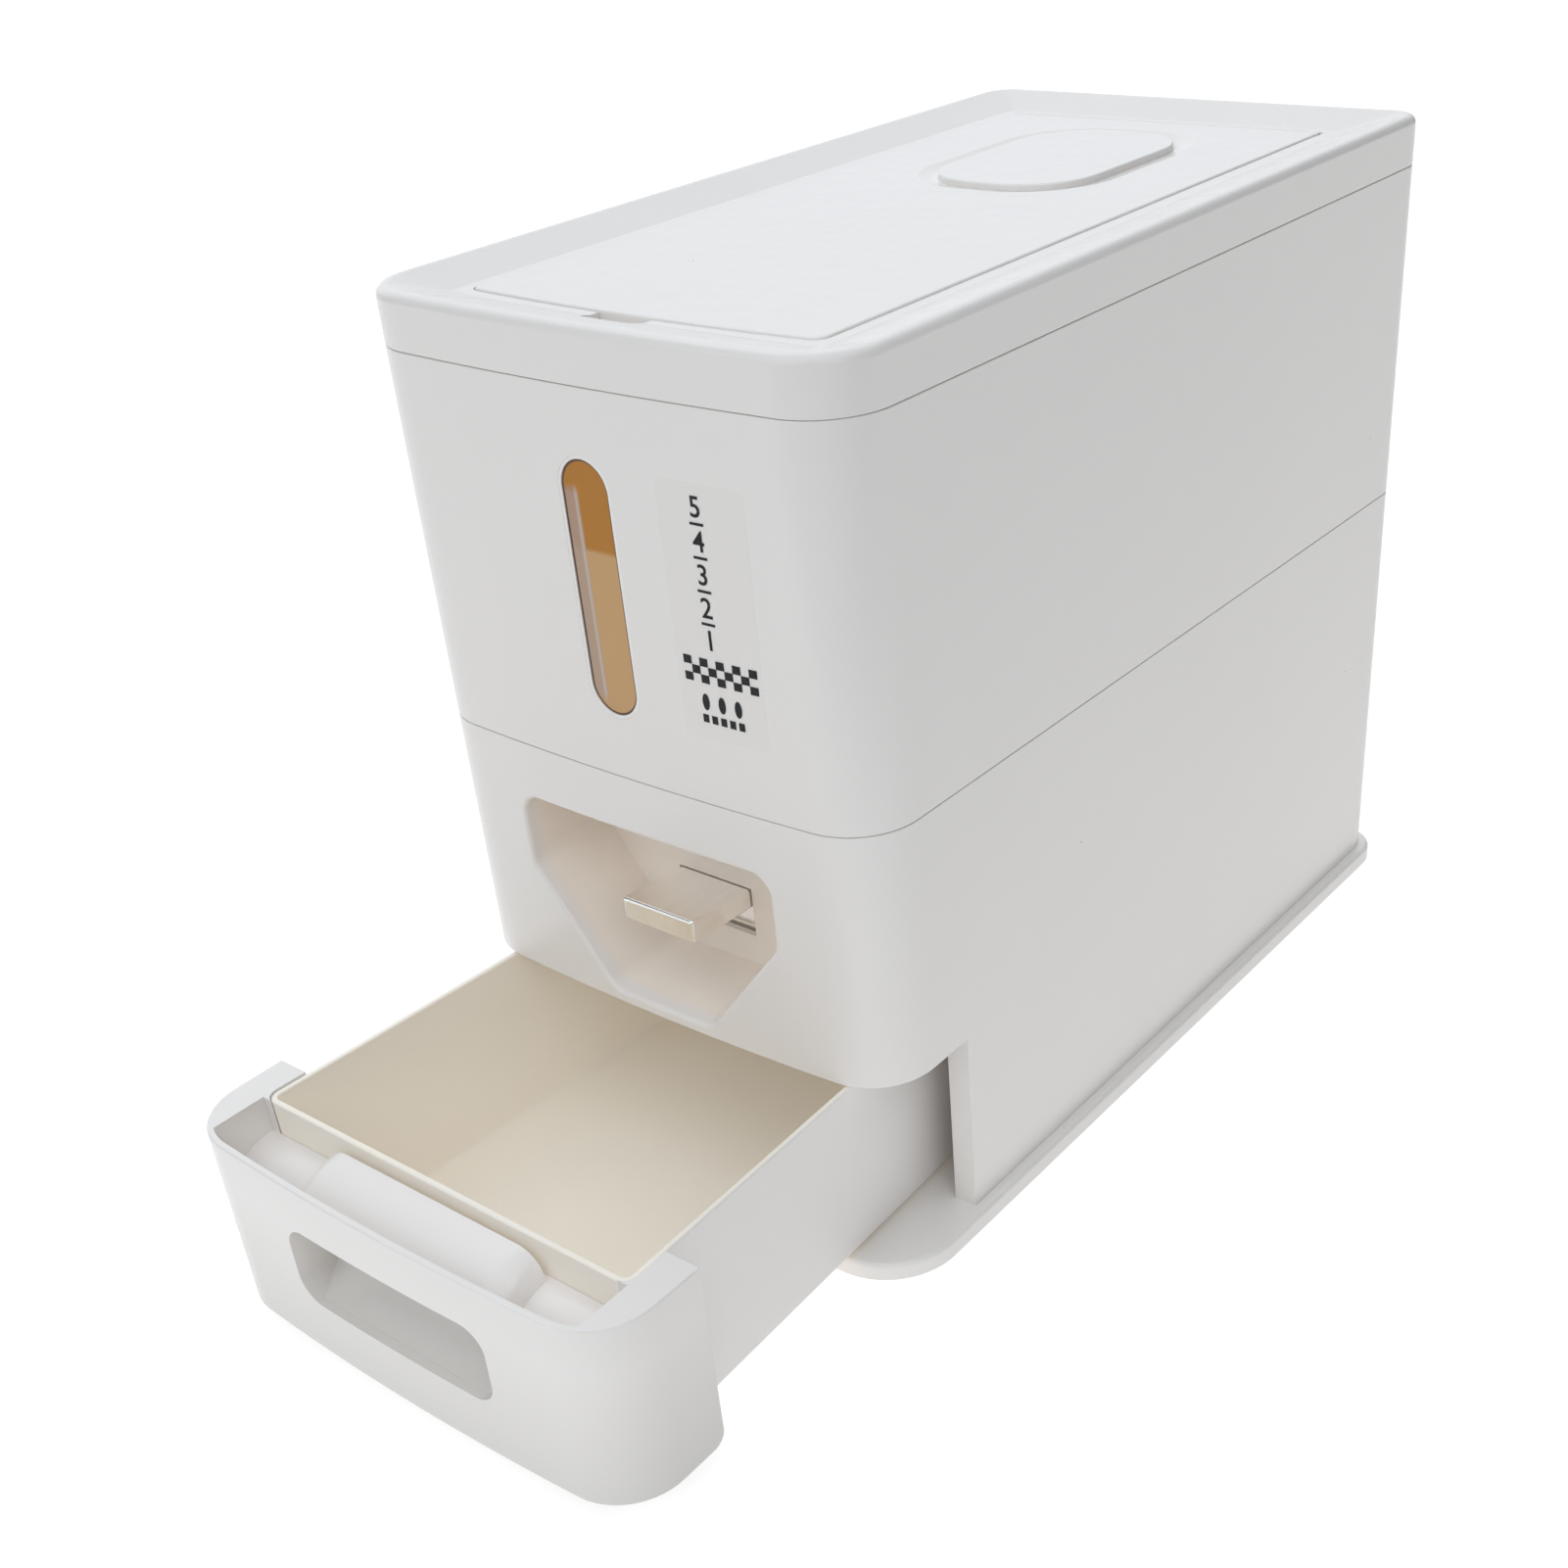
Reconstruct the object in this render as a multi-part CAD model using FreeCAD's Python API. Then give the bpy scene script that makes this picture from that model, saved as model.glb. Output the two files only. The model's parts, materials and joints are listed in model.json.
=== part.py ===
import FreeCAD, Part
import math
import os

from FreeCAD import Vector

# A countertop rice dispenser. A tank with a sloped floor stands on a housing; pressing the
# lever lets one measured portion fall into the drawer at the bottom. All sizes are in mm.
# X is the width, +Y points to the back, +Z is up. The origin lies on the floor under the
# middle of the whole object with its drawer pulled out, from the drawer's front to the base's
# rear edge. Distances called "behind the front" are counted from the foremost line of the
# body's front face.

# ---------------------------------------------------------------- driving sizes
# body plan
BODY_W = 190.0
BODY_D = 350.6
FRONT_BOW = 3.8
CORNER_FRONT = 23.0
CORNER_REAR = 12.0
WALL = 2.6
SEAM_ROUND = 0.5

# heights of the stacked shells
FOOT_STAND = 0.8
BASE_T = 6.6
DRAWER_BAY_H = 70.8
SEAM_OVER_THROAT = 13.3
TANK_H = 123.3
LID_H = 12.8

# base plate
BASE_LEDGE = 4.5
BASE_EDGE_ROUND = 1.6
BASE_SKIN = 2.4
FOOT_R = 9.0
FOOT_SEAT = 2.4
FOOT_INSET = 19.0
BASE_SCREW_FRONT = 62.0
BASE_SCREW_REAR = 28.6
BASE_SCREW_BITE = 9.0
BASE_BOSS_H = 14.0

# recess in the housing's front for the lever
RECESS_SILL = 3.0
RECESS_H = 68.1
RECESS_SHOULDER_H = 39.8
RECESS_HALF = 55.0
RECESS_FLOOR_HALF = 22.0
RECESS_DEPTH = 32.8
RECESS_DRAFT_SIDE = 5.0
RECESS_DRAFT_TOP = 2.8
RECESS_DRAFT_FLOOR = 5.3
RECESS_CORNER = 8.0
RECESS_LIP = 1.5
RECESS_SKIN = 2.4

# drawer
DRAWER_PULL = 131.8
DRAWER_SPARE = 45.0
STOP_SETBACK = 12.0
FRONT_SKIN = 2.2
PANEL_GAP = 0.5
PANEL_HEAD_GAP = 0.7
WING_LENGTH = 43.9
WING_GAP = 0.6
WING_HOLLOW_MARGIN = 2.4
PANEL_LIP_ROUND = 0.8
WING_HEEL_ROUND = 5.0
TRAY_FRONT = 27.3
TRAY_LENGTH = 250.0
TRAY_SIDE_ROOM = 12.7
TRAY_TOE_IN = 0.043
TRAY_DRAFT = 1.0
TRAY_SKIN = 2.3
TRAY_HEAD_GAP = 1.2
TRAY_CORNER = 4.5
TRAY_FLOOR_GAP = 2.4
RUNNER_X = 50.0
RUNNER_W = 4.0
RAIL_TAIL = 40.0

# finger opening and trough behind the drawer's front panel
GRIP_HALF = 45.0
GRIP_SILL = 21.6
GRIP_H = 30.0
GRIP_CORNER = 9.0
GRIP_SIDE_SKIN = 4.0
BULGE_BELOW_RIM = 3.5
BULGE_END_ROUND = 10.0
RAMP_BELOW_RIM = 13.0

# window in the tank
WINDOW_HALF = 10.5
WINDOW_SILL = 20.9
WINDOW_HEAD = 19.9
WINDOW_RIM = 1.1
WINDOW_SINK = 0.5
PANE_FLANGE = 3.0
SEAL_BOW_GAP = 0.1

# lever and metering rocker
LEVER_ARM_L = 31.0
LEVER_HALF = 15.75
LEVER_NOSE = 4.0
LEVER_TIP_RISE = 4.3
LEVER_TIP_T = 8.6
LEVER_ROOT_RISE = 1.9
LEVER_ROOT_T = 7.4
COVER_SKIN = 1.0
COVER_TUCK = 3.2
SLOT_SIDE_GAP = 0.5
SLOT_TOP_GAP = 0.35
SLOT_DROP = 16.5
CROSSBAR_GAP = 1.8
CROSSBAR_DEPTH = 5.0
YOKE_T = 4.0
SHAFT_R = 4.0
SHAFT_OVER = 3.2
HUB_R = 8.0
CHAMBER_HALF = 37.0
CHAMBER_SKIN = 2.2
CHAMBER_AHEAD = 18.8
CHAMBER_BEHIND = 24.0
CHAMBER_OVER_DECK = 1.2
DRUM_R = 33.4
GATE_T = 2.2
PORT_HALF_ANGLE = 8.0
GATE_HALF_ANGLE = 10.0
LEVER_TRAVEL = 16.5
BUSH_R = 6.5
BUSH_FLANGE = 1.4
SPRING_X = 28.0
SPRING_COIL_R = 2.7
SPRING_WIRE_R = 0.45
SPRING_TURNS = 8
SPRING_SEAT_H = 6.6

# deck under the metering chamber
DECK_T = 2.2
DECK_TAIL = 46.0
LEDGE_W = 6.0
LEDGE_H = 2.4

# hopper floor
THROAT_INSET = 3.0
THROAT_HALF_Y = 7.6
THROAT_SKIN = 2.0
THROAT_H = 5.4
SLOPE_SIDE = 28.0
SLOPE_FRONT = 26.0
SLOPE_REAR = 22.0
HOPPER_SKIN = 2.6
LIP_DEPTH = 5.8
LIP_SKIN = 2.2
TANK_LEDGE = 9.0

# lid frame and flap
LID_RIM_RISE = 4.2
LID_RIM_W = 4.0
LID_DISH_W = 18.0
LID_ROUND = 3.0
LID_PLATE = 5.0
FLAP_MARGIN_FRONT = 26.0
FLAP_MARGIN_REAR = 27.6
FLAP_FRONT = 25.8
FLAP_BOW = 3.2
FLAP_CORNER = 5.0
FLAP_PROUD = 0.6
FLAP_T = 3.0
FLAP_REST_GAP = 0.3
FLAP_LEDGE = 6.0
FLAP_SKIRT = 4.6
BARREL_R = 3.0
BARREL_FROM_REAR = 31.1
HINGE_PIN_R = 1.2
HINGE_PIN_L = 20.0
NOTCH_HALF = 10.5
NOTCH_W = 9.0
NOTCH_DEPTH = 3.0
LID_LIP = 6.0
LID_GASKET_T = 1.2

# moisture cap on the flap
PAD_HALF_X = 31.0
PAD_HALF_Y = 47.0
PAD_FROM_BARREL = 69.5
PAD_CORNER = 25.0
PAD_PROUD = 1.0
MOAT_W = 7.0
MOAT_DEPTH = 1.3
BASKET_INSET = 9.0
BASKET_DEPTH = 9.0
BASKET_SKIN = 1.5

# clearances
SLIDE_GAP = 0.4
FIT_GAP = 0.3
RUN_GAP = 0.05
SCREW_R = 1.5
SCREW_HEAD_R = 3.0
SCREW_HEAD_H = 1.8
BOSS_R = 4.2

# ---------------------------------------------------------------- derived places
# plan
OVERALL_L = DRAWER_PULL + BODY_D + BASE_LEDGE
FRONT_Y = DRAWER_PULL - OVERALL_L / 2
REAR_Y = FRONT_Y + BODY_D
MID_Y = (FRONT_Y + REAR_Y) / 2
HALF_W = BODY_W / 2
BOW_R = (HALF_W ** 2 + FRONT_BOW ** 2) / (2 * FRONT_BOW)
SIDE_FRONT = WING_LENGTH + WING_GAP

# heights, from the floor upwards
BASE_TOP = FOOT_STAND + BASE_T
HOUSING_SKIRT = BASE_TOP + DRAWER_BAY_H
DECK_LOW = HOUSING_SKIRT
DECK_TOP = DECK_LOW + DECK_T
DRUM_OUT = DRUM_R + CHAMBER_SKIN
PIVOT_Z = DECK_LOW + CHAMBER_OVER_DECK + DRUM_OUT
THROAT_TOP = PIVOT_Z + DRUM_OUT + THROAT_H
MID_SEAM = THROAT_TOP + SEAM_OVER_THROAT
LID_SEAM = MID_SEAM + TANK_H
LID_TOP = LID_SEAM + LID_H
LID_RIM_TOP = LID_TOP + LID_RIM_RISE

# recess, lever and metering chamber
RECESS_FLOOR = HOUSING_SKIRT + RECESS_SILL
RECESS_SHOULDER = RECESS_FLOOR + RECESS_SHOULDER_H
RECESS_TOP = RECESS_FLOOR + RECESS_H
CROSSBAR_FRONT = RECESS_DEPTH + RECESS_SKIN + CROSSBAR_GAP
PIVOT_BACK = CROSSBAR_FRONT + LEVER_ARM_L
PIVOT_Y = FRONT_Y + PIVOT_BACK
COVER_TAIL = RECESS_DEPTH + COVER_TUCK
LEVER_TIP_TOP = PIVOT_Z + LEVER_TIP_RISE
LEVER_TIP_LOW = LEVER_TIP_TOP - LEVER_TIP_T
LEVER_ROOT_TOP = PIVOT_Z + LEVER_ROOT_RISE
LEVER_ROOT_LOW = LEVER_ROOT_TOP - LEVER_ROOT_T
SLOT_LOW = PIVOT_Z - SLOT_DROP
CHAMBER_FRONT = PIVOT_BACK - CHAMBER_AHEAD
CHAMBER_REAR = PIVOT_BACK + CHAMBER_BEHIND
DECK_END = CHAMBER_REAR + DECK_TAIL
THROAT_HALF_X = CHAMBER_HALF - THROAT_INSET
SPRING_SEAT_TOP = DECK_TOP + SPRING_SEAT_H
GATE_OUT = DRUM_R - 0.6
CHEEK_OUT = CHAMBER_HALF - 0.6
CHEEK_IN = CHEEK_OUT - GATE_T
YOKE_IN = CHAMBER_HALF + CHAMBER_SKIN + BUSH_FLANGE + 0.8
YOKE_OUT = YOKE_IN + YOKE_T

# drawer
STOP_Y = FRONT_Y + SIDE_FRONT + STOP_SETBACK
PANEL_LOW = BASE_TOP + PANEL_GAP
PANEL_TOP = HOUSING_SKIRT - PANEL_HEAD_GAP
TRAY_LOW = BASE_TOP + TRAY_FLOOR_GAP
TRAY_RIM = HOUSING_SKIRT - TRAY_HEAD_GAP
TRAY_HALF_FRONT = HALF_W - TRAY_SIDE_ROOM
WING_INNER = TRAY_HALF_FRONT + FIT_GAP
GRIP_LOW = PANEL_LOW + GRIP_SILL
GRIP_HIGH = GRIP_LOW + GRIP_H
BULGE_FRONT = GRIP_HIGH + FRONT_SKIN
BULGE_BACK = TRAY_RIM - BULGE_BELOW_RIM
RAMP_BACK = TRAY_RIM - RAMP_BELOW_RIM
RAIL_X = RUNNER_X + RUNNER_W / 2 + SLIDE_GAP

# window, lid and moisture cap
WINDOW_LOW = MID_SEAM + WINDOW_SILL
WINDOW_HIGH = LID_SEAM - WINDOW_HEAD
FLAP_HALF_FRONT = HALF_W - FLAP_MARGIN_FRONT
FLAP_HALF_REAR = HALF_W - FLAP_MARGIN_REAR
FLAP_TOP = LID_TOP + FLAP_PROUD
FLAP_LOW = FLAP_TOP - FLAP_T
FLAP_SEAT = FLAP_LOW - FLAP_REST_GAP
NOTCH_FRONT = FLAP_FRONT - NOTCH_W
BARREL_BACK = BODY_D - BARREL_FROM_REAR
PAD_BACK = BARREL_BACK - PAD_FROM_BARREL

os.makedirs("parts", exist_ok=True)


# ---------------------------------------------------------------- small helpers
def back(distance):
    """Row Y of a place that lies this far behind the body's front."""
    return FRONT_Y + distance


def box(x0, x1, y0, y1, z0, z1):
    return Part.makeBox(x1 - x0, y1 - y0, z1 - z0, Vector(x0, y0, z0))


def mirror_box(x0, x1, y0, y1, z0, z1):
    """A box and its mirror image across the middle plane."""
    return [box(x0, x1, y0, y1, z0, z1), box(-x1, -x0, y0, y1, z0, z1)]


def rod_x(radius, x0, x1, y, z):
    return Part.makeCylinder(radius, x1 - x0, Vector(x0, y, z), Vector(1, 0, 0))


def rod_z(radius, x, y, z0, z1):
    return Part.makeCylinder(radius, z1 - z0, Vector(x, y, z0), Vector(0, 0, 1))


def fuse(shapes):
    result = shapes[0].multiFuse(shapes[1:]) if len(shapes) > 1 else shapes[0]
    return result.removeSplitter()


def cut(shape, tools):
    return shape.cut(Part.makeCompound(tools) if len(tools) > 1 else tools[0])


def face_of(edges):
    return Part.Face(Part.Wire(Part.__sortEdges__(edges)))


def polygon(points):
    return Part.makePolygon(points + [points[0]])


def extrude_x(points, x0, x1):
    """A straight bar along X whose section is a list of (y, z) corners."""
    wire = polygon([Vector(x0, y, z) for y, z in points])
    return Part.Face(wire).extrude(Vector(x1 - x0, 0, 0))


def extrude_y(points, y0, y1):
    """A straight bar along Y whose section is a list of (x, z) corners."""
    wire = polygon([Vector(x, y0, z) for x, z in points])
    return Part.Face(wire).extrude(Vector(0, y1 - y0, 0))


def arc(a, middle, b):
    return Part.Arc(a, middle, b).toShape()


def line(a, b):
    return Part.makeLine(a, b)


def edges_along(shape, axis, test):
    """Straight edges parallel to an axis whose middle point passes the test."""
    found = []
    for edge in shape.Edges:
        if edge.Curve.TypeId != "Part::GeomLine":
            continue
        ends = edge.Vertexes
        way = ends[-1].Point.sub(ends[0].Point)
        if way.Length > 1e-6 and abs(abs(way.dot(axis)) / way.Length - 1) < 1e-6:
            middle = (ends[0].Point + ends[-1].Point) * 0.5
            if test(middle):
                found.append(edge)
    return found


def edges_in_plane(shape, z, test):
    """Edges that lie wholly at one height and whose box centre passes the test."""
    found = []
    for edge in shape.Edges:
        bounds = edge.BoundBox
        if abs(bounds.ZMin - z) < 1e-4 and abs(bounds.ZMax - z) < 1e-4:
            if test(bounds.Center):
                found.append(edge)
    return found


def bow_y(x, inset):
    """Row Y of the bowed front face at a given X, moved inwards by the inset."""
    centre = FRONT_Y + BOW_R
    return centre - math.sqrt((BOW_R - inset) ** 2 - x ** 2)


def plan_prism(inset, z0, z1):
    """The body's plan, moved inwards by the inset, as a prism with rounded corners."""
    half = HALF_W - inset
    rear = REAR_Y - inset
    left = Vector(-half, bow_y(half, inset), z0)
    right = Vector(half, bow_y(half, inset), z0)
    edges = [
        arc(left, Vector(0, bow_y(0, inset), z0), right),
        line(right, Vector(half, rear, z0)),
        line(Vector(half, rear, z0), Vector(-half, rear, z0)),
        line(Vector(-half, rear, z0), left),
    ]
    prism = face_of(edges).extrude(Vector(0, 0, z1 - z0))
    up = Vector(0, 0, 1)
    front = edges_along(prism, up, lambda p: p.y < MID_Y)
    prism = prism.makeFillet(max(CORNER_FRONT - inset, 1.0), front)
    rear_edges = edges_along(prism, up, lambda p: p.y > REAR_Y - inset - 0.01)
    return prism.makeFillet(max(CORNER_REAR - inset, 1.0), rear_edges)


def plan_wire(inset, z):
    """The outline of the body's plan at one height."""
    slab = plan_prism(inset, z, z + 1)
    return min(slab.Faces, key=lambda f: f.CenterOfMass.z).OuterWire


def plan_ring(outer, inner, z0, z1):
    """A wall that follows the body's plan between two insets."""
    return plan_prism(outer, z0, z1).cut(plan_prism(inner, z0 - 1, z1 + 1))


def round_rect(half_x, half_y, corner, x, y, z0, z1):
    """An upright prism with a rounded rectangle as its plan."""
    block = box(x - half_x, x + half_x, y - half_y, y + half_y, z0, z1)
    return block.makeFillet(corner, edges_along(block, Vector(0, 0, 1), lambda p: True))


def slot_prism(half, low, high, y0, y1):
    """A bar along Y whose section is an upright slot with round ends."""
    bar = box(-half, half, y0, y1, low, high)
    return bar.makeFillet(half - 0.001, edges_along(bar, Vector(0, 1, 0), lambda p: True))


def screw(x, y, head_z, tip_z):
    """A screw along Z; its head sits on the side away from its tip."""
    way = 1 if tip_z > head_z else -1
    head = Part.makeCylinder(SCREW_HEAD_R, SCREW_HEAD_H, Vector(x, y, head_z), Vector(0, 0, -way))
    drive = Part.makeCylinder(1.0, 0.9, Vector(x, y, head_z - way * SCREW_HEAD_H), Vector(0, 0, way))
    shank = Part.makeCylinder(SCREW_R, abs(tip_z - head_z), Vector(x, y, head_z), Vector(0, 0, way))
    return head.fuse(shank).cut(drive)


def polar(radius, degrees):
    """Row Y and Z of a point around the pivot; 0 degrees is straight up, positive to the back."""
    angle = math.radians(degrees)
    return PIVOT_Y + radius * math.sin(angle), PIVOT_Z + radius * math.cos(angle)


def sector(r_in, r_out, start, end, x0, x1):
    """A curved plate around the pivot between two radii and two angles."""
    middle = (start + end) / 2

    def at(radius, degrees):
        y, z = polar(radius, degrees)
        return Vector(x0, y, z)

    edges = [
        arc(at(r_out, start), at(r_out, middle), at(r_out, end)),
        line(at(r_out, end), at(r_in, end)),
        arc(at(r_in, end), at(r_in, middle), at(r_in, start)),
        line(at(r_in, start), at(r_out, start)),
    ]
    return face_of(edges).extrude(Vector(x1 - x0, 0, 0))


def export(name, shape):
    shape.exportStep("parts/" + name + ".step")
    solids = len(shape.Solids)
    print(f"{name:22s} solids {solids}  valid {shape.isValid()}  {shape.Volume / 1000:.1f} cm3")


# ---------------------------------------------------------------- base
FOOT_X = HALF_W + BASE_LEDGE - FOOT_INSET
FOOT_YS = [FRONT_Y + FOOT_INSET, REAR_Y - FOOT_INSET]
BASE_SCREW_X = HALF_W - WALL - BOSS_R - 0.5
BASE_SCREW_ENDS = [back(BASE_SCREW_FRONT), REAR_Y - BASE_SCREW_REAR]
BASE_SCREW_YS = [BASE_SCREW_ENDS[0], sum(BASE_SCREW_ENDS) / 2, BASE_SCREW_ENDS[1]]


def base_plate():
    """Plate with a ledge all round, hollow underneath between ribs, with seats for the feet."""
    plate = plan_prism(-BASE_LEDGE, FOOT_STAND, BASE_TOP)
    plate = plate.makeFillet(BASE_EDGE_ROUND, edges_in_plane(plate, BASE_TOP, lambda p: True))
    hollow_x = FOOT_X - FOOT_R - 4.0
    bay = (BODY_D - 2 * FOOT_INSET - 2 * FOOT_R - 8.0) / 3
    hollows = []
    for row in range(3):
        y0 = FRONT_Y + FOOT_INSET + FOOT_R + 4.0 + row * bay
        for x0, x1 in [(-hollow_x, -2.0), (2.0, hollow_x)]:
            hollows.append(box(x0, x1, y0 + 2.0, y0 + bay - 2.0, 0, BASE_TOP - BASE_SKIN))
    seats = [rod_z(FOOT_R + 0.1, x, y, 0, FOOT_SEAT + FOOT_STAND)
             for x in (-FOOT_X, FOOT_X) for y in FOOT_YS]
    holes = []
    for x in (-BASE_SCREW_X, BASE_SCREW_X):
        for y in BASE_SCREW_YS:
            holes.append(rod_z(SCREW_R + 0.2, x, y, 0, BASE_TOP + 1))
            holes.append(rod_z(SCREW_HEAD_R + 0.3, x, y, 0, FOOT_STAND + SCREW_HEAD_H + 0.4))
    stop = box(-8, 8, STOP_Y - 6.0, STOP_Y, BASE_TOP - 0.5, BASE_TOP + 1.8)
    return cut(plate, hollows + seats + holes).fuse(stop).removeSplitter()


def foot_pads():
    pads = []
    for x in (-FOOT_X, FOOT_X):
        for y in FOOT_YS:
            pad = rod_z(FOOT_R, x, y, 0, FOOT_SEAT + FOOT_STAND)
            pads.append(pad.makeFillet(0.5, edges_in_plane(pad, 0, lambda p: True)))
    return Part.makeCompound(pads)


def base_screws():
    seat = FOOT_STAND + SCREW_HEAD_H + 0.4
    return Part.makeCompound([screw(x, y, seat, BASE_TOP + BASE_SCREW_BITE)
                              for x in (-BASE_SCREW_X, BASE_SCREW_X) for y in BASE_SCREW_YS])


def drawer_rail(side):
    """Low guide strip on the base; the tray's runner slides along its inner face."""
    inner = RAIL_X
    x0, x1 = (inner, inner + 4.0) if side > 0 else (-inner - 4.0, -inner)
    strip = box(x0, x1, back(SIDE_FRONT + 2), back(TRAY_FRONT + TRAY_LENGTH + RAIL_TAIL),
                BASE_TOP, TRAY_LOW - SLIDE_GAP)
    lead = edges_along(strip, Vector(0, 0, 1), lambda p: p.y < MID_Y)
    return strip.makeFillet(1.5, lead)


# ---------------------------------------------------------------- lower housing
def recess_block(grow, depth, front):
    """The lever recess as a tapering six-sided block, grown outwards by the given amount."""
    def ring(y, half, top, shoulder, floor, floor_half):
        points = [(-half, top), (half, top), (half, shoulder),
                  (floor_half, floor), (-floor_half, floor), (-half, shoulder)]
        return polygon([Vector(x, y, z) for x, z in points])

    share = (depth + front) / RECESS_DEPTH
    lean = share * RECESS_DRAFT_SIDE
    mouth = ring(back(-front), RECESS_HALF + grow, RECESS_TOP + grow,
                 RECESS_SHOULDER - grow * 0.35, RECESS_FLOOR - grow,
                 RECESS_FLOOR_HALF + grow * 0.45)
    end = ring(back(depth), RECESS_HALF + grow - lean,
               RECESS_TOP + grow - share * RECESS_DRAFT_TOP,
               RECESS_SHOULDER - grow * 0.35 + lean * 1.2,
               RECESS_FLOOR - grow + share * RECESS_DRAFT_FLOOR,
               RECESS_FLOOR_HALF + grow * 0.45 - lean * 0.4)
    block = Part.makeLoft([mouth, end], True, True)
    slanted = []
    for edge in block.Edges:
        span = edge.Vertexes[-1].Point.y - edge.Vertexes[0].Point.y
        if abs(span) > depth * 0.9:
            slanted.append(edge)
    return block.makeFillet(RECESS_CORNER + grow, slanted)


def lower_housing():
    """Open-bottomed shell: side, rear and front walls, the lever recess and screw bosses."""
    outer = plan_prism(0, BASE_TOP, MID_SEAM)
    seam = edges_in_plane(outer, MID_SEAM, lambda p: True)
    outer = outer.makeFillet(SEAM_ROUND, seam)
    bay = box(-HALF_W, HALF_W, FRONT_Y - 1, back(SIDE_FRONT), BASE_TOP - 1, HOUSING_SKIRT)
    shell = outer.cut(plan_prism(WALL, BASE_TOP - 1, MID_SEAM + 1)).cut(bay)
    flanges = mirror_box(HALF_W - 8.5, HALF_W - 1, back(SIDE_FRONT), back(SIDE_FRONT) + WALL,
                         BASE_TOP, HOUSING_SKIRT)
    ledges = mirror_box(HALF_W - WALL - LEDGE_W, HALF_W - WALL + 1, back(SIDE_FRONT), back(DECK_END),
                        DECK_LOW - LEDGE_H, DECK_LOW)
    bosses = []
    for x in (-BASE_SCREW_X, BASE_SCREW_X):
        for y in BASE_SCREW_YS:
            bosses.append(rod_z(BOSS_R, x, y, BASE_TOP, BASE_TOP + BASE_BOSS_H))
            bosses.append(box(min(x, math.copysign(HALF_W - 1, x)), max(x, math.copysign(HALF_W - 1, x)),
                              y - 1, y + 1, BASE_TOP, BASE_TOP + BASE_BOSS_H))
    recess_shell = recess_block(RECESS_SKIN, RECESS_DEPTH + RECESS_SKIN, 4)
    recess_shell = recess_shell.common(plan_prism(0.0, BASE_TOP, MID_SEAM))
    shell = fuse([shell, recess_shell] + flanges + ledges + bosses)
    shell = shell.cut(recess_block(0, RECESS_DEPTH, 4))
    slot = box(-LEVER_HALF - SLOT_SIDE_GAP, LEVER_HALF + SLOT_SIDE_GAP,
               back(RECESS_DEPTH - 2), back(RECESS_DEPTH + RECESS_SKIN + 2),
               SLOT_LOW, LEVER_ROOT_TOP + SLOT_TOP_GAP)
    pilot = [rod_z(SCREW_R, x, y, BASE_TOP - 1, BASE_TOP + BASE_SCREW_BITE + 2)
             for x in (-BASE_SCREW_X, BASE_SCREW_X) for y in BASE_SCREW_YS]
    deck_pilot = [rod_z(SCREW_R, x, y, DECK_LOW - LEDGE_H - 1, DECK_LOW + 1) for x, y in deck_screw_places()]
    shell = cut(shell, [slot] + pilot + deck_pilot).removeSplitter()
    return shell.makeFillet(RECESS_LIP, recess_mouth(shell))


def recess_mouth(shell):
    """The edges where the lever recess breaks through the bowed front face."""
    found = []
    for edge in shell.Edges:
        spots = [edge.valueAt(t) for t in edge.ParameterRange] + [edge.CenterOfMass]
        on_front = all(abs(p.y - bow_y(p.x, 0)) < 0.2 for p in spots)
        in_recess = all(RECESS_FLOOR - 1 < p.z < RECESS_TOP + 1 for p in spots)
        if on_front and in_recess and edge.BoundBox.XMax < HALF_W - CORNER_FRONT:
            if edge.BoundBox.XMin > CORNER_FRONT - HALF_W:
                found.append(edge)
    return found


# ---------------------------------------------------------------- deck and metering chamber
def deck_screw_places():
    x = HALF_W - WALL - SCREW_HEAD_R - SLIDE_GAP
    return [(sx * x, back(y)) for sx in (-1, 1) for y in (SIDE_FRONT + 12, DECK_END - 8)]


CHAMBER_FLANGE_X = CHAMBER_HALF + CHAMBER_SKIN + 9.0
CHAMBER_SCREW_X = CHAMBER_HALF + CHAMBER_SKIN + 4.5


def chamber_screw_places():
    return [(sx * CHAMBER_SCREW_X, back(y)) for sx in (-1, 1)
            for y in (CHAMBER_FRONT + 3, CHAMBER_REAR - 3)]


def mechanism_deck():
    """Flat deck over the drawer bay that carries the metering chamber."""
    deck = plan_prism(WALL + FIT_GAP, DECK_LOW, DECK_TOP)
    deck = deck.common(box(-HALF_W, HALF_W, FRONT_Y, back(DECK_END), DECK_LOW - 1, DECK_TOP + 1))
    port = box(-CHAMBER_HALF - CHAMBER_SKIN - FIT_GAP, CHAMBER_HALF + CHAMBER_SKIN + FIT_GAP,
               back(CHAMBER_FRONT - CHAMBER_SKIN - FIT_GAP), back(CHAMBER_REAR + CHAMBER_SKIN + FIT_GAP),
               DECK_LOW - 1, DECK_TOP + 1)
    recess = recess_block(RECESS_SKIN + FIT_GAP, RECESS_DEPTH + RECESS_SKIN + FIT_GAP, 4)
    holes = [rod_z(SCREW_R + 0.2, x, y, DECK_LOW - 1, DECK_TOP + 1) for x, y in deck_screw_places()]
    pilots = [rod_z(SCREW_R, x, y, DECK_LOW - 1, DECK_TOP + 1) for x, y in chamber_screw_places()]
    return cut(deck, [port, recess] + holes + pilots).removeSplitter()


def deck_screws():
    return Part.makeCompound([screw(x, y, DECK_TOP, DECK_LOW - LEDGE_H) for x, y in deck_screw_places()])


def chamber_screws():
    seat = DECK_TOP + CHAMBER_SKIN
    return Part.makeCompound([screw(x, y, seat, DECK_LOW) for x, y in chamber_screw_places()])


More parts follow.
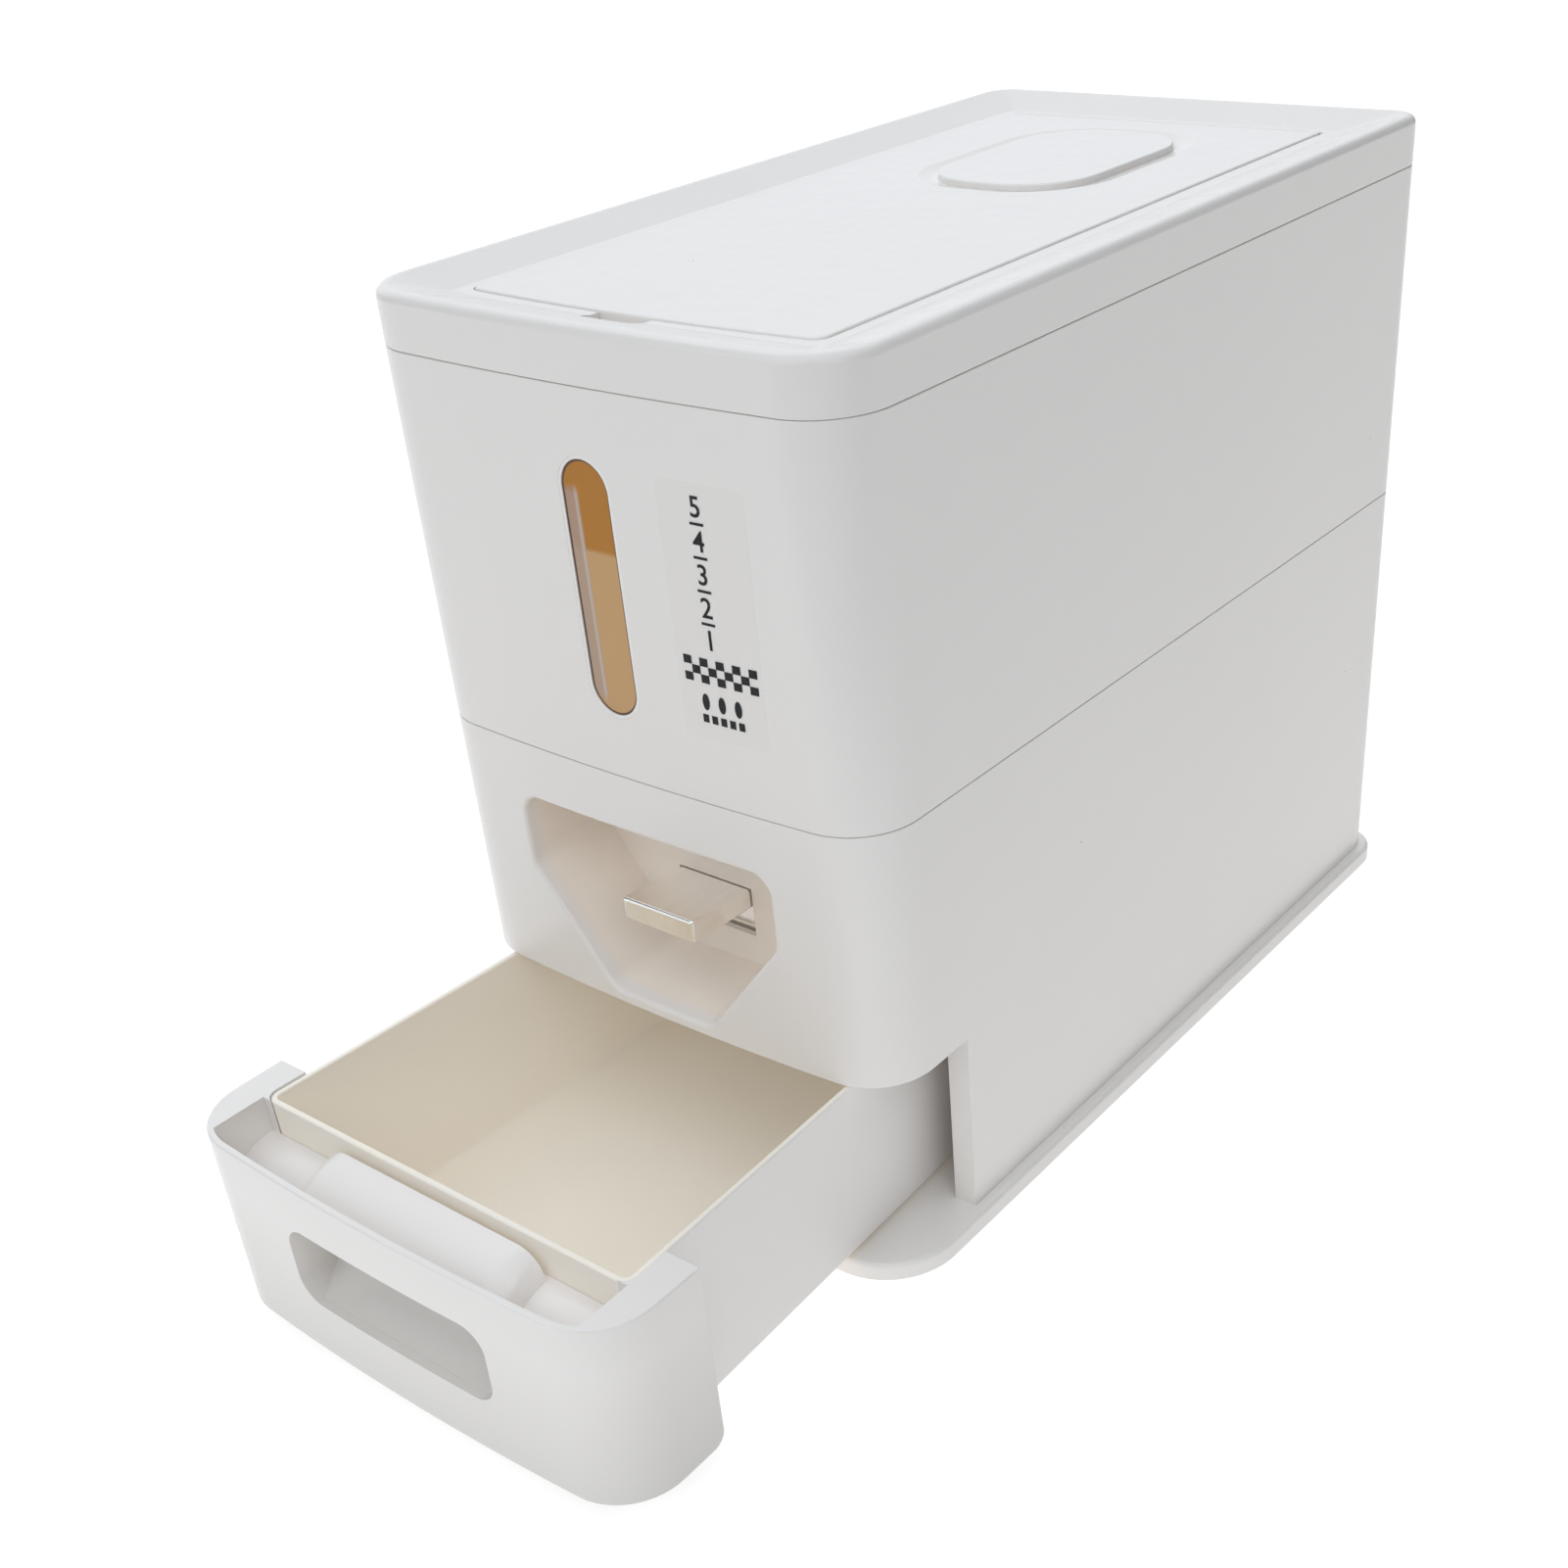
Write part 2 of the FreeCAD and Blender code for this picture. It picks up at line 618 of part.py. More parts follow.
def chamber_section(grow, x0, x1):
    """The chamber's round-bellied section around the pivot, cut off flat in front and behind."""
    drum = rod_x(DRUM_R + grow, x0, x1, PIVOT_Y, PIVOT_Z)
    keep = box(x0, x1, back(CHAMBER_FRONT - grow), back(CHAMBER_REAR + grow),
               PIVOT_Z - 2 * DRUM_R, PIVOT_Z + 2 * DRUM_R)
    return drum.common(keep)


def chamber_body():
    """Measuring chamber: inlet slot on top, outlet slot below, a foot flange and an inlet neck."""
    reach = CHAMBER_HALF + CHAMBER_SKIN
    outer = chamber_section(CHAMBER_SKIN, -reach, reach)
    flange = box(-CHAMBER_FLANGE_X, CHAMBER_FLANGE_X, back(CHAMBER_FRONT - CHAMBER_SKIN),
                 back(CHAMBER_REAR + CHAMBER_SKIN), DECK_TOP, DECK_TOP + CHAMBER_SKIN)
    walls = mirror_box(CHAMBER_HALF, reach, back(CHAMBER_FRONT - CHAMBER_SKIN),
                       back(CHAMBER_REAR + CHAMBER_SKIN), DECK_TOP, PIVOT_Z)
    cross = [box(-reach, reach, back(CHAMBER_FRONT - CHAMBER_SKIN), back(CHAMBER_FRONT),
                 DECK_TOP, PIVOT_Z),
             box(-reach, reach, back(CHAMBER_REAR), back(CHAMBER_REAR + CHAMBER_SKIN),
                 DECK_TOP, PIVOT_Z)]
    neck_x = THROAT_HALF_X + THROAT_SKIN + SLIDE_GAP + THROAT_SKIN
    neck_y = THROAT_HALF_Y + THROAT_SKIN + SLIDE_GAP + THROAT_SKIN
    neck = box(-neck_x, neck_x, PIVOT_Y - neck_y, PIVOT_Y + neck_y, PIVOT_Z + DRUM_R * 0.86,
               PIVOT_Z + DRUM_OUT + 3.0)
    spring_seats = []
    for x in (-SPRING_X, SPRING_X):
        y = back(CROSSBAR_FRONT + CROSSBAR_DEPTH * 0.75)
        spring_seats.append(rod_z(SPRING_COIL_R + 1.0, x, y, DECK_TOP, SPRING_SEAT_TOP))
        spring_seats.append(box(x - 1, x + 1, y, back(CHAMBER_FRONT - 0.5), DECK_TOP, SPRING_SEAT_TOP))
        spring_seats.append(rod_z(SPRING_COIL_R - SPRING_WIRE_R - 0.5, x, y,
                                  SPRING_SEAT_TOP - 1, SPRING_SEAT_TOP + 4))
    body = fuse([outer, flange, neck] + walls + cross + spring_seats)
    inside = chamber_section(0, -CHAMBER_HALF, CHAMBER_HALF)
    collar = box(-neck_x + THROAT_SKIN, neck_x - THROAT_SKIN, PIVOT_Y - neck_y + THROAT_SKIN,
                 PIVOT_Y + neck_y - THROAT_SKIN, PIVOT_Z + DRUM_OUT, PIVOT_Z + DRUM_OUT + 4.0)
    inlet = sector(DRUM_R - 2, DRUM_OUT + 1, -PORT_HALF_ANGLE, PORT_HALF_ANGLE,
                   -CHEEK_IN, CHEEK_IN)
    outlet = sector(DRUM_R - 2, DRUM_OUT + 3, 180 - PORT_HALF_ANGLE, 180 + PORT_HALF_ANGLE,
                    -CHEEK_IN, CHEEK_IN)
    bores = rod_x(BUSH_R - BUSH_FLANGE, -reach - 1, reach + 1, PIVOT_Y, PIVOT_Z)
    holes = [rod_z(SCREW_R + 0.2, x, y, DECK_TOP - 1, DECK_TOP + CHAMBER_SKIN + 1)
             for x, y in chamber_screw_places()]
    return cut(body, [inside, collar, inlet, outlet, bores] + holes).removeSplitter()


def shaft_bush(side):
    """Flanged bush in the chamber's end wall."""
    inner = CHAMBER_HALF
    outer = CHAMBER_HALF + CHAMBER_SKIN + BUSH_FLANGE
    neck = rod_x(BUSH_R - BUSH_FLANGE, inner, outer, PIVOT_Y, PIVOT_Z)
    flange = rod_x(BUSH_R, CHAMBER_HALF + CHAMBER_SKIN, outer, PIVOT_Y, PIVOT_Z)
    bore = rod_x(SHAFT_R + RUN_GAP, inner - 1, outer + 1, PIVOT_Y, PIVOT_Z)
    bush = neck.fuse(flange).removeSplitter().cut(bore)
    return bush if side > 0 else bush.mirror(Vector(0, 0, 0), Vector(1, 0, 0))


def drawer_stop_nub():
    """Nub under the tray's rear end that meets the stop on the base."""
    return box(-8, 8, STOP_Y + DRAWER_PULL + DRAWER_SPARE + 0.5,
               STOP_Y + DRAWER_PULL + DRAWER_SPARE + 4.5, BASE_TOP + SLIDE_GAP, TRAY_LOW + 0.5)


# ---------------------------------------------------------------- lever and rocker
def pivot_shaft():
    reach = YOKE_OUT + SHAFT_OVER
    shaft = rod_x(SHAFT_R, -reach, reach, PIVOT_Y, PIVOT_Z)
    ends = [e for e in shaft.Edges if e.Curve.TypeId == "Part::GeomCircle"]
    shaft = shaft.makeChamfer(0.5, ends)
    grooves = []
    for x in (-YOKE_OUT - 1.2, YOKE_OUT + 0.2):
        grooves.append(rod_x(SHAFT_R + 1, x, x + 1.0, PIVOT_Y, PIVOT_Z).cut(
            rod_x(SHAFT_R - 0.8, x - 1, x + 2, PIVOT_Y, PIVOT_Z)))
    return cut(shaft, grooves)


def shaft_clips():
    """Spring clips in the shaft's end grooves that keep the yoke on."""
    clips = []
    for x in (-YOKE_OUT - 1.1, YOKE_OUT + 0.3):
        ring = rod_x(SHAFT_R + 1.8, x, x + 0.8, PIVOT_Y, PIVOT_Z)
        bore = rod_x(SHAFT_R - 0.8, x - 1, x + 2, PIVOT_Y, PIVOT_Z)
        gap = box(x - 1, x + 2, PIVOT_Y - 1.6, PIVOT_Y + 1.6, PIVOT_Z - SHAFT_R - 4, PIVOT_Z)
        clips.append(cut(ring, [bore, gap]))
    return Part.makeCompound(clips)


def cheek(side):
    """Side plate of the rocker: a hub with one arm up to the inlet gate, one down to the outlet gate."""
    x0, x1 = (CHEEK_IN, CHEEK_OUT) if side > 0 else (-CHEEK_OUT, -CHEEK_IN)
    hub = rod_x(HUB_R, x0, x1, PIVOT_Y, PIVOT_Z)
    arms = [sector(SHAFT_R, GATE_OUT, start, end, x0, x1)
            for start, end in gate_spans()]
    return fuse([hub] + arms).cut(rod_x(SHAFT_R, x0 - 1, x1 + 1, PIVOT_Y, PIVOT_Z))


def gate_spans():
    """Start and end angles of the inlet gate and of the outlet gate at rest."""
    return [(LEVER_TRAVEL - GATE_HALF_ANGLE, LEVER_TRAVEL + GATE_HALF_ANGLE),
            (180 - GATE_HALF_ANGLE, 180 + GATE_HALF_ANGLE)]


def gate(span):
    return sector(GATE_OUT - GATE_T, GATE_OUT, span[0], span[1], -CHEEK_IN, CHEEK_IN)


def lever_tongue(shrink, nose, tail):
    """The lever's flat tongue, thinner at the root than at the tip."""
    reach = RECESS_DEPTH - LEVER_NOSE
    rise_top = (LEVER_ROOT_TOP - LEVER_TIP_TOP) / reach
    rise_low = (LEVER_ROOT_LOW - LEVER_TIP_LOW) / reach

    def at(distance, z, slope):
        return back(distance), z + slope * (distance - LEVER_NOSE)

    section = [at(nose, LEVER_TIP_TOP - shrink, rise_top), at(tail, LEVER_TIP_TOP - shrink, rise_top),
               at(tail, LEVER_TIP_LOW + shrink, rise_low), at(nose, LEVER_TIP_LOW + shrink, rise_low)]
    return extrude_x(section, -LEVER_HALF + shrink, LEVER_HALF - shrink)


def lever_cover():
    """Bright plated cap over the lever's tongue."""
    cap = lever_tongue(0, LEVER_NOSE, COVER_TAIL)
    nose = [e for e in cap.Edges if max(v.Point.y for v in e.Vertexes) < back(LEVER_NOSE) + 0.01]
    sides = [e for e in cap.Edges if e.BoundBox.YLength > 20]
    cap = cap.makeFillet(1.2, nose + sides)
    return cap.cut(lever_tongue(COVER_SKIN, LEVER_NOSE + COVER_SKIN, COVER_TAIL + 1))


def lever_arm():
    """Plastic yoke: tongue, crossbar and two arms that grip the shaft."""
    tongue = lever_tongue(COVER_SKIN, LEVER_NOSE + COVER_SKIN, CROSSBAR_FRONT + 0.5)
    rear = CROSSBAR_FRONT + CROSSBAR_DEPTH
    crossbar = box(-YOKE_OUT, YOKE_OUT, back(CROSSBAR_FRONT), back(rear),
                   LEVER_ROOT_LOW, LEVER_ROOT_TOP)
    top = math.sqrt(HUB_R ** 2 - 4.0)
    arms = []
    for x0 in (YOKE_IN, -YOKE_OUT):
        arms.append(extrude_x([(back(rear) - 1, LEVER_ROOT_TOP), (back(rear) - 1, LEVER_ROOT_LOW),
                               (PIVOT_Y, PIVOT_Z - top), (PIVOT_Y, PIVOT_Z + top)], x0, x0 + YOKE_T))
        arms.append(rod_x(HUB_R, x0, x0 + YOKE_T, PIVOT_Y, PIVOT_Z))
    yoke = fuse([tongue, crossbar] + arms)
    return yoke.cut(rod_x(SHAFT_R, -YOKE_OUT - 1, YOKE_OUT + 1, PIVOT_Y, PIVOT_Z))


def lever_apron():
    """Bright plate that hangs from the crossbar and closes the slot below the lever."""
    root = LEVER_ROOT_LOW
    front = back(RECESS_DEPTH + RECESS_SKIN + 0.8)
    plate = box(-LEVER_HALF + 0.3, LEVER_HALF - 0.3, front + 0.4, front + 1.8, SLOT_LOW - 2.0, root)
    foot = box(-LEVER_HALF + 0.3, LEVER_HALF - 0.3, front, front + 1.8, SLOT_LOW - 2.0, SLOT_LOW + 1.2)
    lug = box(-LEVER_HALF + 0.3, LEVER_HALF - 0.3, front + 0.4, back(CROSSBAR_FRONT + 4), root - 1.2, root)
    return fuse([plate, foot, lug])


def return_spring():
    """Two coil springs between the crossbar and their seats."""
    y = back(CROSSBAR_FRONT + CROSSBAR_DEPTH * 0.75)
    low = SPRING_SEAT_TOP + SPRING_WIRE_R
    high = LEVER_ROOT_LOW - SPRING_WIRE_R
    coils = []
    for x in (-SPRING_X, SPRING_X):
        pitch = (high - low) / SPRING_TURNS
        path = Part.makeHelix(pitch, high - low, SPRING_COIL_R)
        path.translate(Vector(x, y, low))
        start = Vector(x + SPRING_COIL_R, y, low)
        ring = Part.Wire(Part.makeCircle(SPRING_WIRE_R, start, Vector(0, 1, 0)))
        coils.append(Part.Wire(path).makePipeShell([ring], True, True))
    return Part.makeCompound(coils)


# ---------------------------------------------------------------- tank
def upper_bin():
    """The rice tank: four walls, a resting ledge and a lip that drops into the housing."""
    outer = plan_prism(0, MID_SEAM, LID_SEAM)
    seams = edges_in_plane(outer, MID_SEAM, lambda p: True)
    seams += edges_in_plane(outer, LID_SEAM, lambda p: True)
    outer = outer.makeFillet(SEAM_ROUND, seams)
    walls = outer.cut(plan_prism(WALL, MID_SEAM - 1, LID_SEAM + 1))
    ledge = plan_ring(WALL - 1, TANK_LEDGE, MID_SEAM + 0.5, MID_SEAM + WALL)
    lip = plan_ring(WALL + FIT_GAP, WALL + FIT_GAP + LIP_SKIN, MID_SEAM - LIP_DEPTH, MID_SEAM + WALL)
    body = fuse([walls, ledge, lip])
    window = slot_prism(WINDOW_HALF, WINDOW_LOW, WINDOW_HIGH, FRONT_Y - 2, back(WALL + 2))
    return body.cut(window).removeSplitter()


def slope_space(drop):
    """Everything above the four sloping planes of the hopper floor, lowered by the given drop."""
    reach = BODY_D
    z0 = THROAT_TOP - drop
    far_x = HALF_W + 10
    rise_x = math.tan(math.radians(SLOPE_SIDE))
    side = [(-far_x, z0 + (far_x - THROAT_HALF_X) * rise_x), (-THROAT_HALF_X, z0), (THROAT_HALF_X, z0),
            (far_x, z0 + (far_x - THROAT_HALF_X) * rise_x), (far_x, LID_TOP + 200), (-far_x, LID_TOP + 200)]
    across = extrude_y(side, -reach, reach)
    y_front = PIVOT_Y - THROAT_HALF_Y
    y_rear = PIVOT_Y + THROAT_HALF_Y
    rise_front = math.tan(math.radians(SLOPE_FRONT))
    rise_rear = math.tan(math.radians(SLOPE_REAR))
    along = [(FRONT_Y - 10, z0 + (y_front - FRONT_Y + 10) * rise_front), (y_front, z0), (y_rear, z0),
             (REAR_Y + 10, z0 + (REAR_Y + 10 - y_rear) * rise_rear),
             (REAR_Y + 10, LID_TOP + 300), (FRONT_Y - 10, LID_TOP + 300)]
    return across.common(extrude_x(along, -far_x, far_x))


def hopper_funnel():
    """Sloped floor of the tank with an outlet throat and a skirt that stands on the tank's ledge."""
    above = slope_space(0)
    skin = slope_space(HOPPER_SKIN / math.cos(math.radians(SLOPE_SIDE))).cut(above)
    skin = skin.common(plan_prism(WALL + FIT_GAP, THROAT_TOP - 4, LID_SEAM - 8))
    skirt = plan_ring(WALL + FIT_GAP, WALL + FIT_GAP + LIP_SKIN, MID_SEAM + WALL, LID_SEAM - 8).cut(above)
    throat_low = PIVOT_Z + DRUM_OUT + FIT_GAP
    outer = box(-THROAT_HALF_X - THROAT_SKIN, THROAT_HALF_X + THROAT_SKIN,
                PIVOT_Y - THROAT_HALF_Y - THROAT_SKIN, PIVOT_Y + THROAT_HALF_Y + THROAT_SKIN,
                throat_low, THROAT_TOP)
    body = fuse([skin, skirt, outer.cut(above)])
    passage = box(-THROAT_HALF_X, THROAT_HALF_X, PIVOT_Y - THROAT_HALF_Y, PIVOT_Y + THROAT_HALF_Y,
                  throat_low - 1, THROAT_TOP + 1)
    return body.cut(passage).removeSplitter()


def window_seal():
    """Rim that grips the tank wall round the window and holds the pane."""
    rim = slot_prism(WINDOW_HALF - 0.05, WINDOW_LOW + 0.05, WINDOW_HIGH - 0.05, back(0.1), back(WALL + 1.5))
    flange = slot_prism(WINDOW_HALF + PANE_FLANGE, WINDOW_LOW - PANE_FLANGE, WINDOW_HIGH + PANE_FLANGE,
                        back(WALL + SEAL_BOW_GAP), back(WALL + 1.5))
    inner = slot_prism(WINDOW_HALF - WINDOW_RIM, WINDOW_LOW + WINDOW_RIM, WINDOW_HIGH - WINDOW_RIM,
                       FRONT_Y - 1, back(WALL + 3))
    return rim.fuse(flange).removeSplitter().cut(inner)


def window_pane():
    """Clear tinted pane with a thin flange behind its seal."""
    pane = slot_prism(WINDOW_HALF - WINDOW_RIM - 0.05, WINDOW_LOW + WINDOW_RIM + 0.05,
                      WINDOW_HIGH - WINDOW_RIM - 0.05, back(WINDOW_SINK), back(WALL + 1.5))
    flange = slot_prism(WINDOW_HALF + PANE_FLANGE, WINDOW_LOW - PANE_FLANGE, WINDOW_HIGH + PANE_FLANGE,
                        back(WALL + 1.5), back(WALL + 2.7))
    return pane.fuse(flange).removeSplitter()


# ---------------------------------------------------------------- lid
def flap_outline(grow, z0, z1):
    """The flap's plan: slightly narrower at the back, with a bowed front edge."""
    front = back(FLAP_FRONT - grow)
    rear = back(BARREL_BACK)
    half_f = FLAP_HALF_FRONT + grow
    half_r = FLAP_HALF_REAR + grow
    left = Vector(-half_f, front + FLAP_BOW, z0)
    right = Vector(half_f, front + FLAP_BOW, z0)
    edges = [arc(left, Vector(0, front, z0), right), line(right, Vector(half_r, rear, z0)),
             line(Vector(half_r, rear, z0), Vector(-half_r, rear, z0)),
             line(Vector(-half_r, rear, z0), left)]
    plate = face_of(edges).extrude(Vector(0, 0, z1 - z0))
    corners = edges_along(plate, Vector(0, 0, 1), lambda p: p.y < MID_Y)
    return plate.makeFillet(max(FLAP_CORNER + grow, 0.8), corners)


def barrel_space(grow, half, z_top):
    """Room round the hinge barrel, open towards the top."""
    y = back(BARREL_BACK)
    z = FLAP_TOP - BARREL_R
    radius = BARREL_R + grow
    return box(-half, half, y - radius, y + radius, z - radius, z_top)


def lid_dish():
    """The shallow hollow inside the lid's rim, with sloping sides and a flat bottom."""
    low = plan_wire(LID_RIM_W + LID_DISH_W, LID_TOP)
    high = plan_wire(LID_RIM_W, LID_RIM_TOP)
    dish = Part.makeLoft([low, high], True, True)
    return dish.fuse(plan_prism(LID_RIM_W, LID_RIM_TOP, LID_RIM_TOP + 5))


def lid_frame():
    """Lid body: a raised rim that slopes down to the flap's opening, ledge, hinge seats and notch."""
    outer = plan_prism(0, LID_SEAM, LID_RIM_TOP)
    outer = outer.makeFillet(LID_ROUND, edges_in_plane(outer, LID_RIM_TOP, lambda p: True))
    outer = outer.cut(lid_dish())
    outer = outer.makeFillet(SEAM_ROUND, edges_in_plane(outer, LID_SEAM, lambda p: True))
    shell = outer.cut(plan_prism(WALL, LID_SEAM - 1, LID_TOP - LID_PLATE))
    lip_in = WALL + FIT_GAP + LID_GASKET_T
    lip = plan_ring(lip_in, lip_in + LIP_SKIN, LID_SEAM - LID_LIP, LID_TOP - LID_PLATE + 0.5)
    collar = plan_ring(WALL + FIT_GAP, lip_in + 0.5, LID_SEAM - LID_LIP, LID_SEAM - LID_LIP + 1.6)
    body = fuse([shell, lip, collar])
    seat = flap_outline(SLIDE_GAP, FLAP_SEAT, LID_RIM_TOP + 5)
    through = flap_outline(-FLAP_LEDGE, LID_TOP - LID_PLATE - 1, LID_TOP + 5)
    barrel = barrel_space(0.6, FLAP_HALF_REAR + SLIDE_GAP, LID_TOP + 5)
    groove = flap_outline(-1.6, FLAP_SEAT - 1.0, LID_TOP).cut(flap_outline(-4.4, FLAP_SEAT - 2, LID_TOP))
    pins = [hinge_pin(side) for side in (-1, 1)]
    notch = box(-NOTCH_HALF, NOTCH_HALF, back(NOTCH_FRONT), back(FLAP_FRONT + 1.5),
                LID_TOP - NOTCH_DEPTH, LID_RIM_TOP + 5)
    notch = notch.makeFillet(2.5, edges_along(notch, Vector(0, 0, 1), lambda p: p.y < back(FLAP_FRONT - 3)))
    return cut(body, [seat, through, barrel, groove, notch] + pins).removeSplitter()


def lid_gasket():
    return plan_ring(WALL + 0.1, WALL + FIT_GAP + LID_GASKET_T, LID_SEAM - LID_LIP + 1.6,
                     LID_SEAM - LID_LIP + 4.6)


def flap_seal():
    """Soft ring in the groove of the frame's ledge, under the flap's edge."""
    ring = flap_outline(-1.7, FLAP_SEAT - 1.0, FLAP_LOW - 0.05)
    ring = ring.cut(flap_outline(-4.3, FLAP_SEAT - 2, FLAP_LOW + 1))
    return ring.cut(barrel_space(0.9, HALF_W, LID_TOP + 5))


def hinge_pin(side):
    start = FLAP_HALF_REAR + 4.0
    x0, x1 = (start - HINGE_PIN_L, start) if side > 0 else (-start, -start + HINGE_PIN_L)
    return rod_x(HINGE_PIN_R, x0, x1, back(BARREL_BACK), FLAP_TOP - BARREL_R)


def hinge_pins():
    return Part.makeCompound([hinge_pin(-1), hinge_pin(1)])


def lid_flap():
    """Hinged flap with a stiffening skirt, a hinge barrel and a shallow moat for the moisture cap."""
    plate = flap_outline(0, FLAP_LOW, FLAP_TOP)
    top = edges_in_plane(plate, FLAP_TOP, lambda p: p.y < back(BARREL_BACK) - 1)
    plate = plate.makeFillet(1.0, top)
    barrel = rod_x(BARREL_R, -FLAP_HALF_REAR, FLAP_HALF_REAR, back(BARREL_BACK), FLAP_TOP - BARREL_R)
    skirt = flap_outline(-FLAP_LEDGE - 1, FLAP_LOW - FLAP_SKIRT, FLAP_LOW + 0.5)
    skirt = skirt.cut(flap_outline(-FLAP_LEDGE - 3, FLAP_LOW - FLAP_SKIRT - 1, FLAP_LOW + 1))
    skirt = skirt.cut(box(-HALF_W, HALF_W, back(BARREL_BACK - 8), REAR_Y, FLAP_LOW - 10, FLAP_LOW))
    closing = FLAP_HALF_REAR - FLAP_LEDGE - 1.5
    skirt = skirt.fuse(box(-closing, closing, back(BARREL_BACK - 10), back(BARREL_BACK - 8),
                           FLAP_LOW - FLAP_SKIRT, FLAP_LOW + 0.5))
    body = fuse([plate, barrel, skirt])
    floor = FLAP_TOP - MOAT_DEPTH
    low = round_rect(PAD_HALF_X + 1, PAD_HALF_Y + 1, PAD_CORNER + 1, 0, back(PAD_BACK), floor, floor + 1)
    high = round_rect(PAD_HALF_X + MOAT_W, PAD_HALF_Y + MOAT_W, PAD_CORNER + MOAT_W, 0, back(PAD_BACK),
                      FLAP_TOP, FLAP_TOP + 1)
    rings = [shape.Faces for shape in (low, high)]
    low_wire = min(rings[0], key=lambda f: f.CenterOfMass.z).OuterWire
    high_wire = min(rings[1], key=lambda f: f.CenterOfMass.z).OuterWire
    moat = Part.makeLoft([low_wire, high_wire], True, True)
    hole = round_rect(PAD_HALF_X - BASKET_INSET + 1, PAD_HALF_Y - BASKET_INSET + 1,
                      PAD_CORNER - BASKET_INSET + 1, 0, back(PAD_BACK), FLAP_LOW - 1, FLAP_TOP + 1)
    bores = [rod_x(HINGE_PIN_R + RUN_GAP, x0, x0 + HINGE_PIN_L - 3, back(BARREL_BACK), FLAP_TOP - BARREL_R)
             for x0 in (-FLAP_HALF_REAR - 1, FLAP_HALF_REAR - HINGE_PIN_L + 4)]
    return cut(body, [moat, hole] + bores).removeSplitter()


def moisture_cap():
    """Raised pad that closes the moisture basket; it lifts off the flap."""
    floor = FLAP_TOP - MOAT_DEPTH
    pad = round_rect(PAD_HALF_X, PAD_HALF_Y, PAD_CORNER, 0, back(PAD_BACK), floor, FLAP_TOP + PAD_PROUD)
    return pad.makeFillet(0.9, edges_in_plane(pad, FLAP_TOP + PAD_PROUD, lambda p: True))


def moisture_basket():
    """Slotted cup under the cap that holds the moisture sachet."""
    top = FLAP_TOP - MOAT_DEPTH
    low = top - BASKET_DEPTH
    half_x = PAD_HALF_X - BASKET_INSET
    half_y = PAD_HALF_Y - BASKET_INSET
    corner = PAD_CORNER - BASKET_INSET
    cup = round_rect(half_x, half_y, corner, 0, back(PAD_BACK), low, top)
    room = round_rect(half_x - BASKET_SKIN, half_y - BASKET_SKIN, corner - BASKET_SKIN, 0, back(PAD_BACK),
                      low + BASKET_SKIN, top + 1)
    slots = [box(-half_x + 6, half_x - 6, back(PAD_BACK) + i * 9 - 1.5, back(PAD_BACK) + i * 9 + 1.5,
                 low - 1, low + BASKET_SKIN + 1) for i in range(-3, 4)]
    return cut(cup, [room] + slots)


def moisture_sachet():
    top = FLAP_TOP - MOAT_DEPTH
    low = top - BASKET_DEPTH + BASKET_SKIN
    sachet = round_rect(PAD_HALF_X - BASKET_INSET - BASKET_SKIN - 1.5,
                        PAD_HALF_Y - BASKET_INSET - BASKET_SKIN - 1.5,
                        PAD_CORNER - BASKET_INSET - BASKET_SKIN - 1.5, 0, back(PAD_BACK), low, top - 1.2)
    return sachet.makeFillet(1.5, edges_in_plane(sachet, top - 1.2, lambda p: True))


# ---------------------------------------------------------------- drawer
def tray_block(grow, z0, z1):
    """The tray's tapering outer block, grown outwards in plan, between two heights."""
    def ring(z):
        lean = TRAY_DRAFT * (TRAY_RIM - z) / (TRAY_RIM - TRAY_LOW)
        front = back(TRAY_FRONT - grow)
        rear = back(TRAY_FRONT + TRAY_LENGTH + grow) - lean
        half_f = TRAY_HALF_FRONT + grow - lean
        half_r = half_f - (rear - front) * TRAY_TOE_IN
        return polygon([Vector(-half_f, front, z), Vector(half_f, front, z),
                        Vector(half_r, rear, z), Vector(-half_r, rear, z)])

    block = Part.makeLoft([ring(z0), ring(z1)], True, True)
    upright = [e for e in block.Edges if abs(e.BoundBox.ZLength - (z1 - z0)) < 0.01]
    return block.makeFillet(max(TRAY_CORNER + grow, 1.0), upright)


def drawer_tray():
    """Thin-walled tray with two runners and a stop nub under its floor."""
    outer = tray_block(0, TRAY_LOW, TRAY_RIM)
    outer = outer.makeFillet(2.0, edges_in_plane(outer, TRAY_LOW, lambda p: True))
    inner = tray_block(-TRAY_SKIN, TRAY_LOW + TRAY_SKIN, TRAY_RIM + 1)
    inner = inner.makeFillet(2.0, edges_in_plane(inner, TRAY_LOW + TRAY_SKIN, lambda p: True))
    tray = outer.cut(inner)
    rim = edges_in_plane(tray, TRAY_RIM, lambda p: True)
    tray = tray.makeFillet(0.7, rim)
    runners = mirror_box(RUNNER_X - RUNNER_W / 2, RUNNER_X + RUNNER_W / 2, back(TRAY_FRONT + 12),
                         back(TRAY_FRONT + TRAY_LENGTH - 10), BASE_TOP + FIT_GAP, TRAY_LOW + 0.5)
    return fuse([tray, drawer_stop_nub()] + runners)


